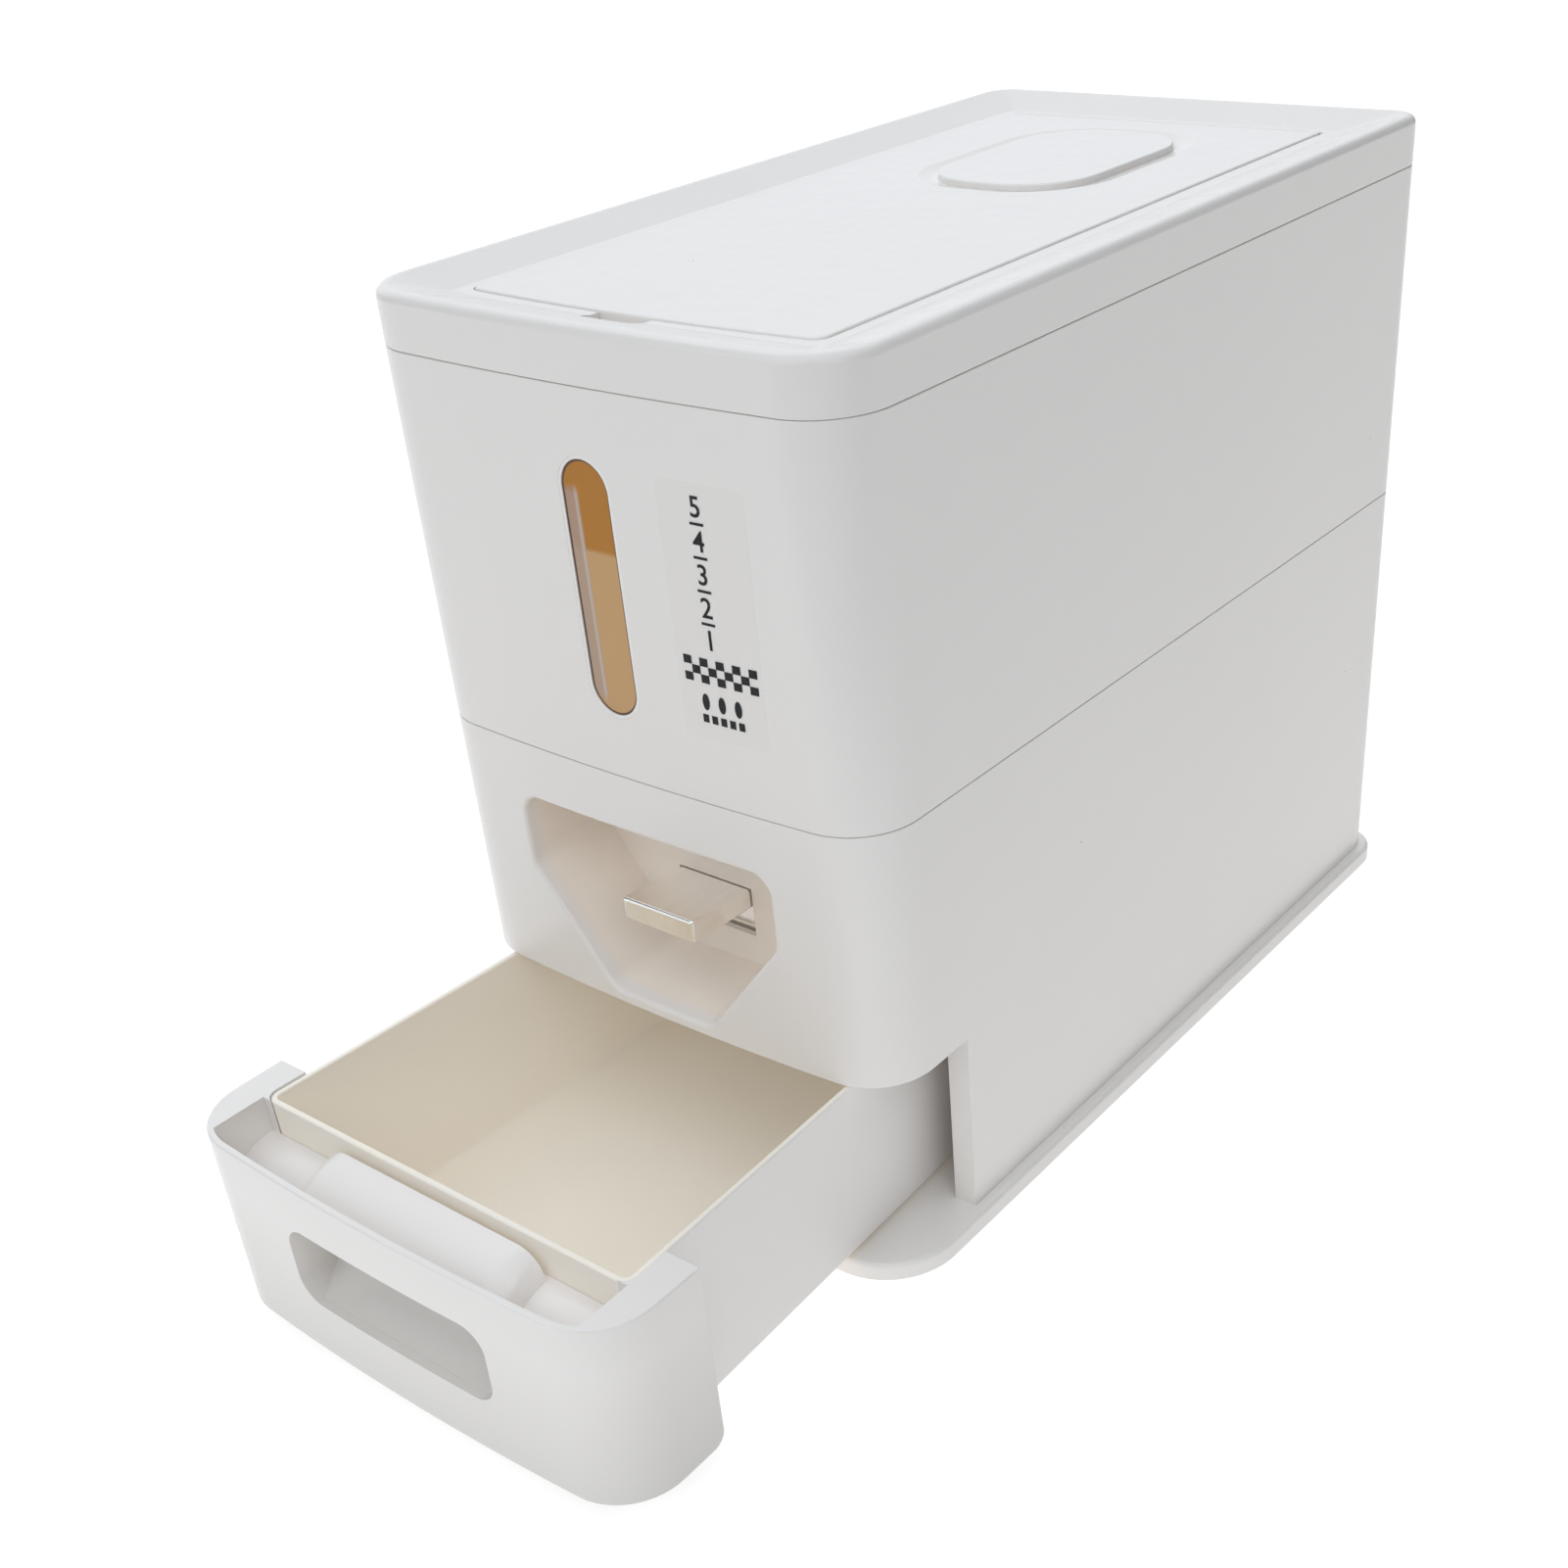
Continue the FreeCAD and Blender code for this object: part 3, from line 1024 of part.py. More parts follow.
def trough_arc(front_z, back_z, drop, front_at, back_at, x0, x1, floor):
    """Bar along X below a curve that falls from the tray side down to the panel."""
    run = back_at - front_at
    fall = back_z - front_z
    radius = (run ** 2 + fall ** 2) / (2 * fall)
    y_back = back(back_at)
    centre_z = back_z - radius
    reach = radius - drop

    def on(y):
        return centre_z + math.sqrt(reach ** 2 - (y_back - y) ** 2)

    y_front = back(front_at)
    low_y = max(y_front, y_back - reach + 0.001)
    middle = (low_y + y_back) / 2
    low = Vector(x0, low_y, on(low_y))
    high = Vector(x0, y_back, on(y_back))
    edges = [arc(low, Vector(x0, middle, on(middle)), high),
             line(high, Vector(x0, y_back, floor)),
             line(Vector(x0, y_back, floor), Vector(x0, low_y, floor)),
             line(Vector(x0, low_y, floor), low)]
    return face_of(edges).extrude(Vector(x1 - x0, 0, 0))


def grip_scoop(grow, x0, x1):
    """Concave scoop behind the finger opening: it sweeps back and up from the opening's lower edge."""
    depth = TRAY_FRONT - 2.2 - FRONT_SKIN + grow
    centre_y = FRONT_Y
    centre_z = GRIP_LOW + TRAY_FRONT - 2.2 - FRONT_SKIN
    slant = depth * math.sqrt(0.5)
    low = Vector(x0, centre_y, centre_z - depth)
    end = Vector(x0, centre_y + depth, centre_z)
    edges = [arc(low, Vector(x0, centre_y + slant, centre_z - slant), end),
             line(end, Vector(x0, centre_y + depth, BULGE_BACK + 10)),
             line(Vector(x0, centre_y + depth, BULGE_BACK + 10), Vector(x0, centre_y - 5, BULGE_BACK + 10)),
             line(Vector(x0, centre_y - 5, BULGE_BACK + 10), Vector(x0, centre_y - 5, centre_z - depth)),
             line(Vector(x0, centre_y - 5, centre_z - depth), low)]
    return face_of(edges).extrude(Vector(x1 - x0, 0, 0))


def panel_shell():
    """Front panel with its two wings, hollow inside the wings from below."""
    shell = plan_prism(0, PANEL_LOW, PANEL_TOP)
    keep = box(-HALF_W - 1, HALF_W + 1, FRONT_Y - 1, back(WING_LENGTH), PANEL_LOW - 1, PANEL_TOP + 1)
    shell = shell.common(keep)
    inner = plan_prism(FRONT_SKIN, PANEL_LOW - 1, PANEL_TOP + 1)
    trough = box(-WING_INNER, WING_INNER, FRONT_Y, back(TRAY_FRONT - 0.2), PANEL_LOW - 1, PANEL_TOP + 1)
    shell = shell.cut(inner.common(trough))
    shell = shell.cut(tray_block(FIT_GAP, TRAY_LOW - 3, TRAY_RIM + 3))
    heels = edges_along(shell, Vector(1, 0, 0),
                        lambda p: p.y > back(WING_LENGTH) - 0.1 and p.z < PANEL_LOW + 0.1)
    shell = shell.makeFillet(WING_HEEL_ROUND, heels)
    outer_rim = [e for e in edges_in_plane(shell, PANEL_TOP, lambda p: True) if on_outer_face(e)]
    return shell.makeFillet(PANEL_LIP_ROUND, outer_rim)


def on_outer_face(edge):
    """True for an edge on the panel's outer face."""
    middle = edge.valueAt((edge.FirstParameter + edge.LastParameter) / 2)
    probe = plan_prism(0.5, middle.z - 1, middle.z + 1)
    inside = probe.isInside(middle, 1e-6, True)
    return not inside and middle.y < back(WING_LENGTH) - 0.1


def wing_hollows():
    margin = WING_HOLLOW_MARGIN
    return mirror_box(WING_INNER + margin - 0.6, HALF_W - margin, back(CORNER_FRONT),
                      back(WING_LENGTH - margin), PANEL_LOW - 1, PANEL_TOP - margin)


def drawer_front():
    """Front panel, wings, trough ramp and the bulge over the finger pocket, in one moulding."""
    shell = panel_shell().cut(Part.makeCompound(wing_hollows()))
    wall_at = TRAY_FRONT - 0.2
    low = PANEL_LOW + 2
    start = FRONT_SKIN
    ramp_drop = RAMP_BACK - (wall_at - start)
    ramp = trough_arc(ramp_drop, RAMP_BACK, 0, start, wall_at, -WING_INNER - 0.5, WING_INNER + 0.5, low)
    under = trough_arc(ramp_drop, RAMP_BACK, FRONT_SKIN, start, wall_at, -WING_INNER - 2, WING_INNER + 2,
                       low - 1)
    ramp_skin = ramp.cut(under).common(plan_prism(FRONT_SKIN - 0.2, ramp_drop - 1, PANEL_TOP))
    back_wall = box(-WING_INNER - 0.5, WING_INNER + 0.5, back(wall_at - FRONT_SKIN), back(wall_at),
                    PANEL_LOW, RAMP_BACK - 1)
    half = GRIP_HALF + GRIP_SIDE_SKIN
    bulge = trough_arc(BULGE_FRONT, BULGE_BACK, 0, start, wall_at, -half, half, GRIP_LOW - 6)
    ends = [e for e in bulge.Edges if e.BoundBox.XLength < 0.01 and e.BoundBox.ZMax > BULGE_BACK - 0.01
            and e.BoundBox.YLength > 10]
    bulge = bulge.makeFillet(BULGE_END_ROUND, ends)
    pocket_skin = grip_scoop(FRONT_SKIN, -half, half).common(bulge)
    body = fuse([shell, ramp_skin, back_wall, pocket_skin])
    roof = trough_arc(BULGE_FRONT, BULGE_BACK, FRONT_SKIN, start, wall_at, -GRIP_HALF, GRIP_HALF,
                      GRIP_LOW - 8)
    room = grip_scoop(0, -GRIP_HALF, GRIP_HALF).common(roof)
    side = box(-GRIP_HALF, GRIP_HALF, FRONT_Y - 6, back(TRAY_FRONT), GRIP_LOW, BULGE_BACK + 9)
    side = side.makeFillet(GRIP_CORNER, edges_along(side, Vector(0, 1, 0), lambda p: True))
    opening = box(-GRIP_HALF, GRIP_HALF, FRONT_Y - 6, back(FRONT_SKIN + FRONT_BOW / 3), GRIP_LOW, GRIP_HIGH)
    opening = opening.makeFillet(GRIP_CORNER, edges_along(opening, Vector(0, 1, 0), lambda p: True))
    return cut(body, [room.common(side), opening]).removeSplitter()


def pulled(shape):
    """Moves a drawer piece from its shut place to its open place."""
    shape = shape.copy()
    shape.translate(Vector(0, -DRAWER_PULL, 0))
    return shape


# ---------------------------------------------------------------- write the sub-parts
def main():
    spans = gate_spans()
    export("base_plate", base_plate())
    export("foot_pads", foot_pads())
    export("base_screws", base_screws())
    export("drawer_rail_left", drawer_rail(-1))
    export("drawer_rail_right", drawer_rail(1))
    export("lower_housing", lower_housing())
    export("mechanism_deck", mechanism_deck())
    export("deck_screws", deck_screws())
    export("chamber_body", chamber_body())
    export("chamber_screws", chamber_screws())
    export("shaft_bush_left", shaft_bush(-1))
    export("shaft_bush_right", shaft_bush(1))
    export("pivot_shaft", pivot_shaft())
    export("shaft_clips", shaft_clips())
    export("cheek_left", cheek(-1))
    export("cheek_right", cheek(1))
    export("inlet_gate", gate(spans[0]))
    export("outlet_gate", gate(spans[1]))
    export("lever_arm", lever_arm())
    export("lever_cover", lever_cover())
    export("lever_apron", lever_apron())
    export("return_springs", return_spring())
    export("upper_bin", upper_bin())
    export("hopper_funnel", hopper_funnel())
    export("window_seal", window_seal())
    export("window_pane", window_pane())
    export("lid_frame", lid_frame())
    export("lid_gasket", lid_gasket())
    export("flap_seal", flap_seal())
    export("hinge_pins", hinge_pins())
    export("lid_flap", lid_flap())
    export("moisture_cap", moisture_cap())
    export("moisture_basket", moisture_basket())
    export("moisture_sachet", moisture_sachet())
    export("drawer_tray", pulled(drawer_tray()))
    export("drawer_front", pulled(drawer_front()))


main()
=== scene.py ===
# %% [markdown]
# A kitchen rice dispenser: a white tank with an amber window, a press lever in a recess, and a
# drawer pulled out at the bottom. The shapes come in finished, as a frame of separate pieces, so
# this lesson is about finishes: what each surface is made of, how it takes the light, and the
# few thin things, such as printed marks, that are easier to make here than in the frame.

# %% Load the frame
import json
import math

import bmesh
import bpy
from mathutils import Matrix, Vector

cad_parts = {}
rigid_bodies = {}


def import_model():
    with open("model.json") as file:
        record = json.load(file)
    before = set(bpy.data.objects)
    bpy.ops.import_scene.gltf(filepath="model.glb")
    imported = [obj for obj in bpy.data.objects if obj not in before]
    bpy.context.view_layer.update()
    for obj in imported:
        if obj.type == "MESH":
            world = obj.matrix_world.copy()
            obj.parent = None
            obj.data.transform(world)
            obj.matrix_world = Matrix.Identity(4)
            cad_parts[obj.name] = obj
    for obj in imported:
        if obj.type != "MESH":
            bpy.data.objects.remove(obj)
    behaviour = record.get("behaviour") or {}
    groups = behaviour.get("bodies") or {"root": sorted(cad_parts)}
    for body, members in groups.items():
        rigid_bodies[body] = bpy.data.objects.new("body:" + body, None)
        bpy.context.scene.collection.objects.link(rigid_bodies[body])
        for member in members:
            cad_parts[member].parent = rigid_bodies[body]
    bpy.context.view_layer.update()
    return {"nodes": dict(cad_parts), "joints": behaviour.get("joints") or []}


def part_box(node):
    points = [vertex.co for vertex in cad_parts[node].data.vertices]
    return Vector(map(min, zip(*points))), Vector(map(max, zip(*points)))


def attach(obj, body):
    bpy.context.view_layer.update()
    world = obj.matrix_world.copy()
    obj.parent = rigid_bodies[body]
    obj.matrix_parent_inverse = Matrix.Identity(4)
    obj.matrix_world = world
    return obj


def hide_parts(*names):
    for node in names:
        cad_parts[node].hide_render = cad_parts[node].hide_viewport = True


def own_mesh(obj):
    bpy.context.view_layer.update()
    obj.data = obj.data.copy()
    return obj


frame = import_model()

pieces = frame["nodes"]

# %% [markdown]
# Blender works in metres. Small things are easier to think of in millimetres, so one value turns
# millimetres into metres. Later steps need to know where the tank and its window are. Those places
# could be typed in, but they are read from the pieces, so that they stay right if a size changes.

# %% Units and places
MM = 0.001


def corners(name):
    """Lowest and highest corner of a piece, in metres."""
    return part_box(name)


tank_low, tank_high = corners("upper_bin")
pane_low, pane_high = corners("window_pane")
front_y = tank_low.y
print("tank front at y =", round(front_y, 4))
print("window pane from", round(pane_low.z, 4), "to", round(pane_high.z, 4))

# %% [markdown]
# The camera stands to the right of the front and looks down on it, close enough for the box to
# narrow towards the back. Three angles are easier to read than a matrix: azimuth turns the camera
# round the object, elevation lifts it, and roll tilts the picture. The picture is a crop of a
# wider view, which is what the two shifts are for.

# %% Camera
CAMERA_AZIMUTH = math.radians(39.763)
CAMERA_ELEVATION = math.radians(33.232)
CAMERA_ROLL = math.radians(-4.354)
CAMERA_PLACE = Vector((409.24, -486.72, 446.51)) * MM
SENSOR_MM = 36.0
PICTURE_PX = 1601
FOCAL_PX = 1988.7
CENTRE_PX = (899.9, 1002.1)
NEAREST_SEEN_M = 0.01


def camera_axes(azimuth, elevation, roll):
    """The camera's right, up and backward directions as a rotation matrix."""
    flat = math.cos(elevation)
    ahead = Vector((-math.sin(azimuth) * flat, math.cos(azimuth) * flat, -math.sin(elevation)))
    level_right = ahead.cross(Vector((0, 0, 1))).normalized()
    level_up = level_right.cross(ahead)
    right = math.cos(roll) * level_right + math.sin(roll) * level_up
    up = math.cos(roll) * level_up - math.sin(roll) * level_right
    return Matrix((right, up, -ahead)).transposed()


def make_camera():
    lens = bpy.data.cameras.new("camera")
    lens.sensor_width = SENSOR_MM
    lens.lens = SENSOR_MM * FOCAL_PX / PICTURE_PX
    lens.shift_x = 0.5 - CENTRE_PX[0] / PICTURE_PX
    lens.shift_y = CENTRE_PX[1] / PICTURE_PX - 0.5
    lens.clip_start = NEAREST_SEEN_M
    camera = bpy.data.objects.new("camera", lens)
    turn = camera_axes(CAMERA_AZIMUTH, CAMERA_ELEVATION, CAMERA_ROLL)
    camera.matrix_world = Matrix.Translation(CAMERA_PLACE) @ turn.to_4x4()
    bpy.context.scene.collection.objects.link(camera)
    bpy.context.scene.camera = camera
    return lens


lens = make_camera()
print("lens", round(lens.lens, 2), "mm, shift", round(lens.shift_x, 4), round(lens.shift_y, 4))

# %% [markdown]
# The dispenser stands on a plain pale floor that reaches past the edge of the view. A single large
# plane does that job. It glows, like the lit table that small white things are often placed on:
# there is almost no shadow, and the white sides get light from below. The light that it gives is
# strongest under and behind the object and fades towards the viewer, so that the low parts of the
# sides are brighter than the high ones. The floor itself has to look equally bright all over. Two
# planes could share the work, one seen and one giving light, but one plane is simpler: a Light Path
# node tells what is seen directly from what only lights other things, and only the second fades.

# %% Glow of the floor
GLOW_NEAR = 0.80
GLOW_FAR = 0.05
GLOW_FADE_M = (0.42, 0.62)
TOWARDS_VIEWER = (math.sin(CAMERA_AZIMUTH), -math.cos(CAMERA_AZIMUTH), 0)


def glow(tree):
    """Glow for the floor: full where it is seen, fading towards the viewer in the light it gives."""
    place = tree.nodes.new("ShaderNodeTexCoord")
    distance = tree.nodes.new("ShaderNodeVectorMath")
    distance.operation = "DOT_PRODUCT"
    distance.inputs[1].default_value = TOWARDS_VIEWER
    fade = tree.nodes.new("ShaderNodeMapRange")
    fade.inputs["From Min"].default_value, fade.inputs["From Max"].default_value = GLOW_FADE_M
    fade.inputs["To Min"].default_value = GLOW_NEAR
    fade.inputs["To Max"].default_value = GLOW_FAR
    ray = tree.nodes.new("ShaderNodeLightPath")
    seen_or_given = tree.nodes.new("ShaderNodeMix")
    seen_or_given.inputs["B"].default_value = GLOW_NEAR
    tree.links.new(place.outputs["Object"], distance.inputs[0])
    tree.links.new(distance.outputs["Value"], fade.inputs["Value"])
    tree.links.new(ray.outputs["Is Camera Ray"], seen_or_given.inputs["Factor"])
    tree.links.new(fade.outputs["Result"], seen_or_given.inputs["A"])
    return seen_or_given.outputs["Result"]


print("glow from", GLOW_NEAR, "to", GLOW_FAR)

# %% [markdown]
# The plane gets a rough white paint with no gloss, so that it mirrors nothing. It isn't part of
# the object.

# %% Floor
FLOOR_HALF_M = 6.0
FLOOR_WHITE = (0.32, 0.32, 0.32, 1)
FLOOR_ROUGHNESS = 0.9
GLOW_WHITE = (1, 1, 1, 1)


def floor_paint():
    paint = bpy.data.materials.new("floor_white")
    paint.use_nodes = True
    shader = paint.node_tree.nodes["Principled BSDF"]
    shader.inputs["Base Color"].default_value = FLOOR_WHITE
    shader.inputs["Roughness"].default_value = FLOOR_ROUGHNESS
    shader.inputs["Specular IOR Level"].default_value = 0
    shader.inputs["Emission Color"].default_value = GLOW_WHITE
    paint.node_tree.links.new(glow(paint.node_tree), shader.inputs["Emission Strength"])
    return paint


def make_floor():
    edge = FLOOR_HALF_M
    mesh = bpy.data.meshes.new("floor")
    corner_points = [(-edge, -edge, 0), (edge, -edge, 0), (edge, edge, 0), (-edge, edge, 0)]
    mesh.from_pydata(corner_points, [], [(0, 1, 2, 3)])
    mesh.materials.append(floor_paint())
    floor = bpy.data.objects.new("floor", mesh)
    bpy.context.scene.collection.objects.link(floor)


make_floor()
print("floor", 2 * FLOOR_HALF_M, "m across")

# %% [markdown]
# The lid is seen at a shallow angle, where even plastic mirrors a third of what lies behind it. In
# a dark room it would look grey, and in a bright one every side would be lit alike. So the room
# has one bright patch, behind the object and above it, that fades to dark on the viewer's side. A
# large white card could stand there instead, but it would show in other views. The patch is only
# in the light that the room gives: looked at directly, the room is plain and pale all round.

# %% Room
LIGHT_COLOUR = (0.915, 0.957, 1.0)
PATCH_TOWARDS = (-0.70, 0.58, 0.42)
PATCH_BRIGHT = 1.12
PATCH_EDGE = 0.55
PATCH_FULL = 0.90
ROOM_SEEN = (0.80, 0.82, 0.84, 1)


def patch(tree):
    """Brightness by direction: full towards the patch, nothing beyond its edge."""
    place = tree.nodes.new("ShaderNodeTexCoord")
    behind = tree.nodes.new("ShaderNodeVectorMath")
    behind.operation = "DOT_PRODUCT"
    behind.inputs[1].default_value = PATCH_TOWARDS
    fade = tree.nodes.new("ShaderNodeMapRange")
    fade.inputs["From Min"].default_value = PATCH_EDGE
    fade.inputs["From Max"].default_value = PATCH_FULL
    fade.inputs["To Max"].default_value = PATCH_BRIGHT
    tree.links.new(place.outputs["Generated"], behind.inputs[0])
    tree.links.new(behind.outputs["Value"], fade.inputs["Value"])
    return fade.outputs["Result"]


def make_room():
    world = bpy.data.worlds.new("room")
    world.use_nodes = True
    tree = world.node_tree
    given = tree.nodes["Background"]
    given.inputs["Color"].default_value = (*LIGHT_COLOUR, 1)
    tree.links.new(patch(tree), given.inputs["Strength"])
    seen = tree.nodes.new("ShaderNodeBackground")
    seen.inputs["Color"].default_value = ROOM_SEEN
    ray = tree.nodes.new("ShaderNodeLightPath")
    seen_or_given = tree.nodes.new("ShaderNodeMixShader")
    tree.links.new(ray.outputs["Is Camera Ray"], seen_or_given.inputs["Fac"])
    tree.links.new(given.outputs["Background"], seen_or_given.inputs[1])
    tree.links.new(seen.outputs["Background"], seen_or_given.inputs[2])
    tree.links.new(seen_or_given.outputs["Shader"], tree.nodes["World Output"].inputs["Surface"])
    bpy.context.scene.world = world


make_room()
print("room lit from behind, brightness", PATCH_BRIGHT)

# %% [markdown]
# White plastic on a white floor only reads if each side of the box has its own brightness. Three
# very wide lamps do that: the strongest overhead, the next in front and a little to the left, and
# the weakest high in front on the right, so that the lid is the brightest, the front comes next
# and the right side is the darkest. They are sun lamps, which light the whole floor alike, where
# area lamps would leave its far part grey. With a wide angle their shadows are as soft as those of
# a large soft box. A fourth, round lamp stands close by, in front on the right. It evens out the
# right side, whose far end gets more of the light from behind. It is an area lamp, because its
# light gets weaker with distance, and a sun lamp's doesn't.

# %% Lamps
SUNS = {
    "overhead_light": (Vector((0, 0, 1)), 1.27, math.radians(90)),
    "right_light": (Vector((0.45, -0.45, 1)), 0.46, math.radians(70)),
    "front_light": (Vector((-0.25, -0.95, 0.35)), 0.84, math.radians(60)),
}
NEAR_PLACE = Vector((0.55, -0.45, 0.50))
NEAR_TARGET = Vector((tank_high.x, 0, tank_low.z))
NEAR_WATTS = 0.78
NEAR_ACROSS_M = 0.5


def add_lamp(light, shines_from):
    """Puts a light in the scene, turned so that it shines from this direction."""
    light.color = LIGHT_COLOUR
    lamp = bpy.data.objects.new(light.name, light)
    lamp.rotation_euler = shines_from.to_track_quat("Z", "Y").to_euler()
    bpy.context.scene.collection.objects.link(lamp)
    return lamp


def near_light():
    disk = bpy.data.lights.new("near_light", "AREA")
    disk.shape = "DISK"
    disk.size = NEAR_ACROSS_M
    disk.energy = NEAR_WATTS
    lamp = add_lamp(disk, NEAR_PLACE - NEAR_TARGET)
    lamp.location = NEAR_PLACE


def wide_light(name, shines_from, strength, spread):
    sun = bpy.data.lights.new(name, "SUN")
    sun.energy = strength
    sun.angle = spread
    add_lamp(sun, shines_from)


near_light()
for name, (shines_from, strength, spread) in SUNS.items():
    wide_light(name, shines_from, strength, spread)
print(len(SUNS), "wide lamps and a near one")

# %% [markdown]
# Inside the white drawer light bounces from wall to wall many times, so more bounces than usual
# are allowed. A view with a film curve would turn white into a pale grey, and the Standard view,
# which has none, keeps it white.

# %% Bounces and view
LIGHT_BOUNCES = 8

bpy.context.scene.cycles.max_bounces = 2 * LIGHT_BOUNCES
bpy.context.scene.cycles.diffuse_bounces = LIGHT_BOUNCES
bpy.context.scene.view_settings.view_transform = "Standard"
print("light may bounce", LIGHT_BOUNCES, "times between dull surfaces")

# %% [markdown]
# Every finish below is built from the same few nodes, so the work of adding and joining them is
# wrapped in one class. Each finish works in the piece's own coordinates, in metres, so a grain has
# a real size and stays on the piece when it moves. Painted pictures could do the same, but only on
# unwrapped pieces.

# %% Material made of nodes
class NodeMaterial:
    """A node material that is built up one node at a time."""

    def __init__(self, name):
        self.material = bpy.data.materials.new(name)
        self.material.use_nodes = True
        self.tree = self.material.node_tree
        self.shader = self.tree.nodes["Principled BSDF"]
        self.place = self.node("ShaderNodeTexCoord").outputs["Object"]

    def node(self, kind, **settings):
        node = self.tree.nodes.new(kind)
        for name, value in settings.items():
            setattr(node, name, value)
        return node

    def join(self, source, target):
        self.tree.links.new(source, target)

    def drive(self, socket_name, source):
        """Lets a node's output drive one of the shader's sockets."""
        self.join(source, self.shader.inputs[socket_name])

    def set(self, **values):
        """Shader sockets by name, with underscores for spaces."""
        for name, value in values.items():
            self.shader.inputs[name.replace("_", " ")].default_value = value

    def parts(self, vector):
        """A vector's three values."""
        node = self.node("ShaderNodeSeparateXYZ")
        self.join(vector, node.inputs["Vector"])
        return node.outputs["X"], node.outputs["Y"], node.outputs["Z"]

    def maths(self, operation, *values):
        """One sum on values that are sockets or plain numbers."""
        node = self.node("ShaderNodeMath", operation=operation)
        for socket, value in zip(node.inputs, values):
            if isinstance(value, float):
                socket.default_value = value
            else:
                self.join(value, socket)
        return node.outputs["Value"]


print("nodes can be added and joined")

# %% [markdown]
# A finish says the same few things again and again: a soft noise, a value stretched to a range, two
# colours mixed, relief, a place between two others, and scattered specks. Each is one method on top
# of the class above. Plain functions could do this too, but each would need the material handed in.

# %% Grain, colour and relief
NOISE_LOW, NOISE_HIGH = 0.3, 0.7    # nearly all of a noise lies between these
SPECK_CORE = 0.7                    # share of a speck's radius that is fully dark


class Finish(NodeMaterial):
    """A material with the words that finishes are described in."""

    def noise(self, grain_mm, detail=2.0):
        """Soft random patches of about this size."""
        node = self.node("ShaderNodeTexNoise")
        node.inputs["Scale"].default_value = 1 / (grain_mm * MM)
        node.inputs["Detail"].default_value = detail
        self.join(self.place, node.inputs["Vector"])
        return node.outputs["Fac"]

    def spread(self, source, low, high, source_low=NOISE_LOW, source_high=NOISE_HIGH):
        """Stretches a value to run from low to high."""
        node = self.node("ShaderNodeMapRange")
        node.inputs["From Min"].default_value = source_low
        node.inputs["From Max"].default_value = source_high
        node.inputs["To Min"].default_value = low
        node.inputs["To Max"].default_value = high
        self.join(source, node.inputs["Value"])
        return node.outputs["Result"]

    def mix(self, share, first, second):
        """One colour turning into another as share goes from 0 to 1."""
        node = self.node("ShaderNodeMix", data_type="RGBA")
        self.join(share, node.inputs["Factor"])
        for socket, colour in ((node.inputs["A"], first), (node.inputs["B"], second)):
            if isinstance(colour, tuple):
                socket.default_value = (*colour, 1)
            else:
                self.join(colour, socket)
        return node.outputs["Result"]

    def bump(self, height, depth_mm, under=None):
        """Relief of this depth, on top of an earlier one."""
        node = self.node("ShaderNodeBump")
        node.inputs["Distance"].default_value = depth_mm * MM
        self.join(height, node.inputs["Height"])
        if under is not None:
            self.join(under, node.inputs["Normal"])
        return node.outputs["Normal"]

    def between(self, value, low_mm, high_mm, blur_mm):
        """1 where a place lies between two others, 0 outside them."""
        blur = blur_mm * MM / 2
        rise = self.spread(value, 0, 1, low_mm * MM - blur, low_mm * MM + blur)
        fall = self.spread(value, 1, 0, high_mm * MM - blur, high_mm * MM + blur)
        return self.maths("MULTIPLY", rise, fall)

    def specks(self, cell_mm, radius_mm):
        """1 inside small dark grains scattered through the plastic, else 0."""
        node = self.node("ShaderNodeTexVoronoi")
        node.inputs["Scale"].default_value = 1 / (cell_mm * MM)
        self.join(self.place, node.inputs["Vector"])
        edge = radius_mm / cell_mm
        return self.spread(node.outputs["Distance"], 1, 0, SPECK_CORE * edge, edge)


print("finishes can have grain, colour and relief")

# %% [markdown]
# The lever sits in a recess of the housing. Its walls look warmer and a little brighter than the
# outside, because light is passed from wall to wall there. A warmer colour and a very faint glow
# stand in for some of that light, and they have to end where the recess ends. The recess could be a
# piece of its own, but on the real object it is one moulding with the housing. So the finish marks
# where it is, by distance behind the front, across and up.

# %% Where the recess is
RECESS_FROM_MM, RECESS_TO_MM = 5.5, 40.0
RECESS_HALF_MM = 56.0
RECESS_LOW_MM, RECESS_HIGH_MM = 79.0, 152.0
RECESS_BLUR_MM = 2.0


def in_recess(finish):
    """1 on the walls of the lever's recess, which lie just behind the housing's front."""
    across, depth, height = finish.parts(finish.place)
    nearest, farthest = front_y / MM + RECESS_FROM_MM, front_y / MM + RECESS_TO_MM
    behind = finish.between(depth, nearest, farthest, 2 * RECESS_BLUR_MM)
    beside = finish.between(across, -RECESS_HALF_MM, RECESS_HALF_MM, RECESS_BLUR_MM)
    level = finish.between(height, RECESS_LOW_MM, RECESS_HIGH_MM, RECESS_BLUR_MM)
    return finish.maths("MULTIPLY", behind, finish.maths("MULTIPLY", beside, level))


print("recess from", RECESS_LOW_MM, "to", RECESS_HIGH_MM, "mm up")
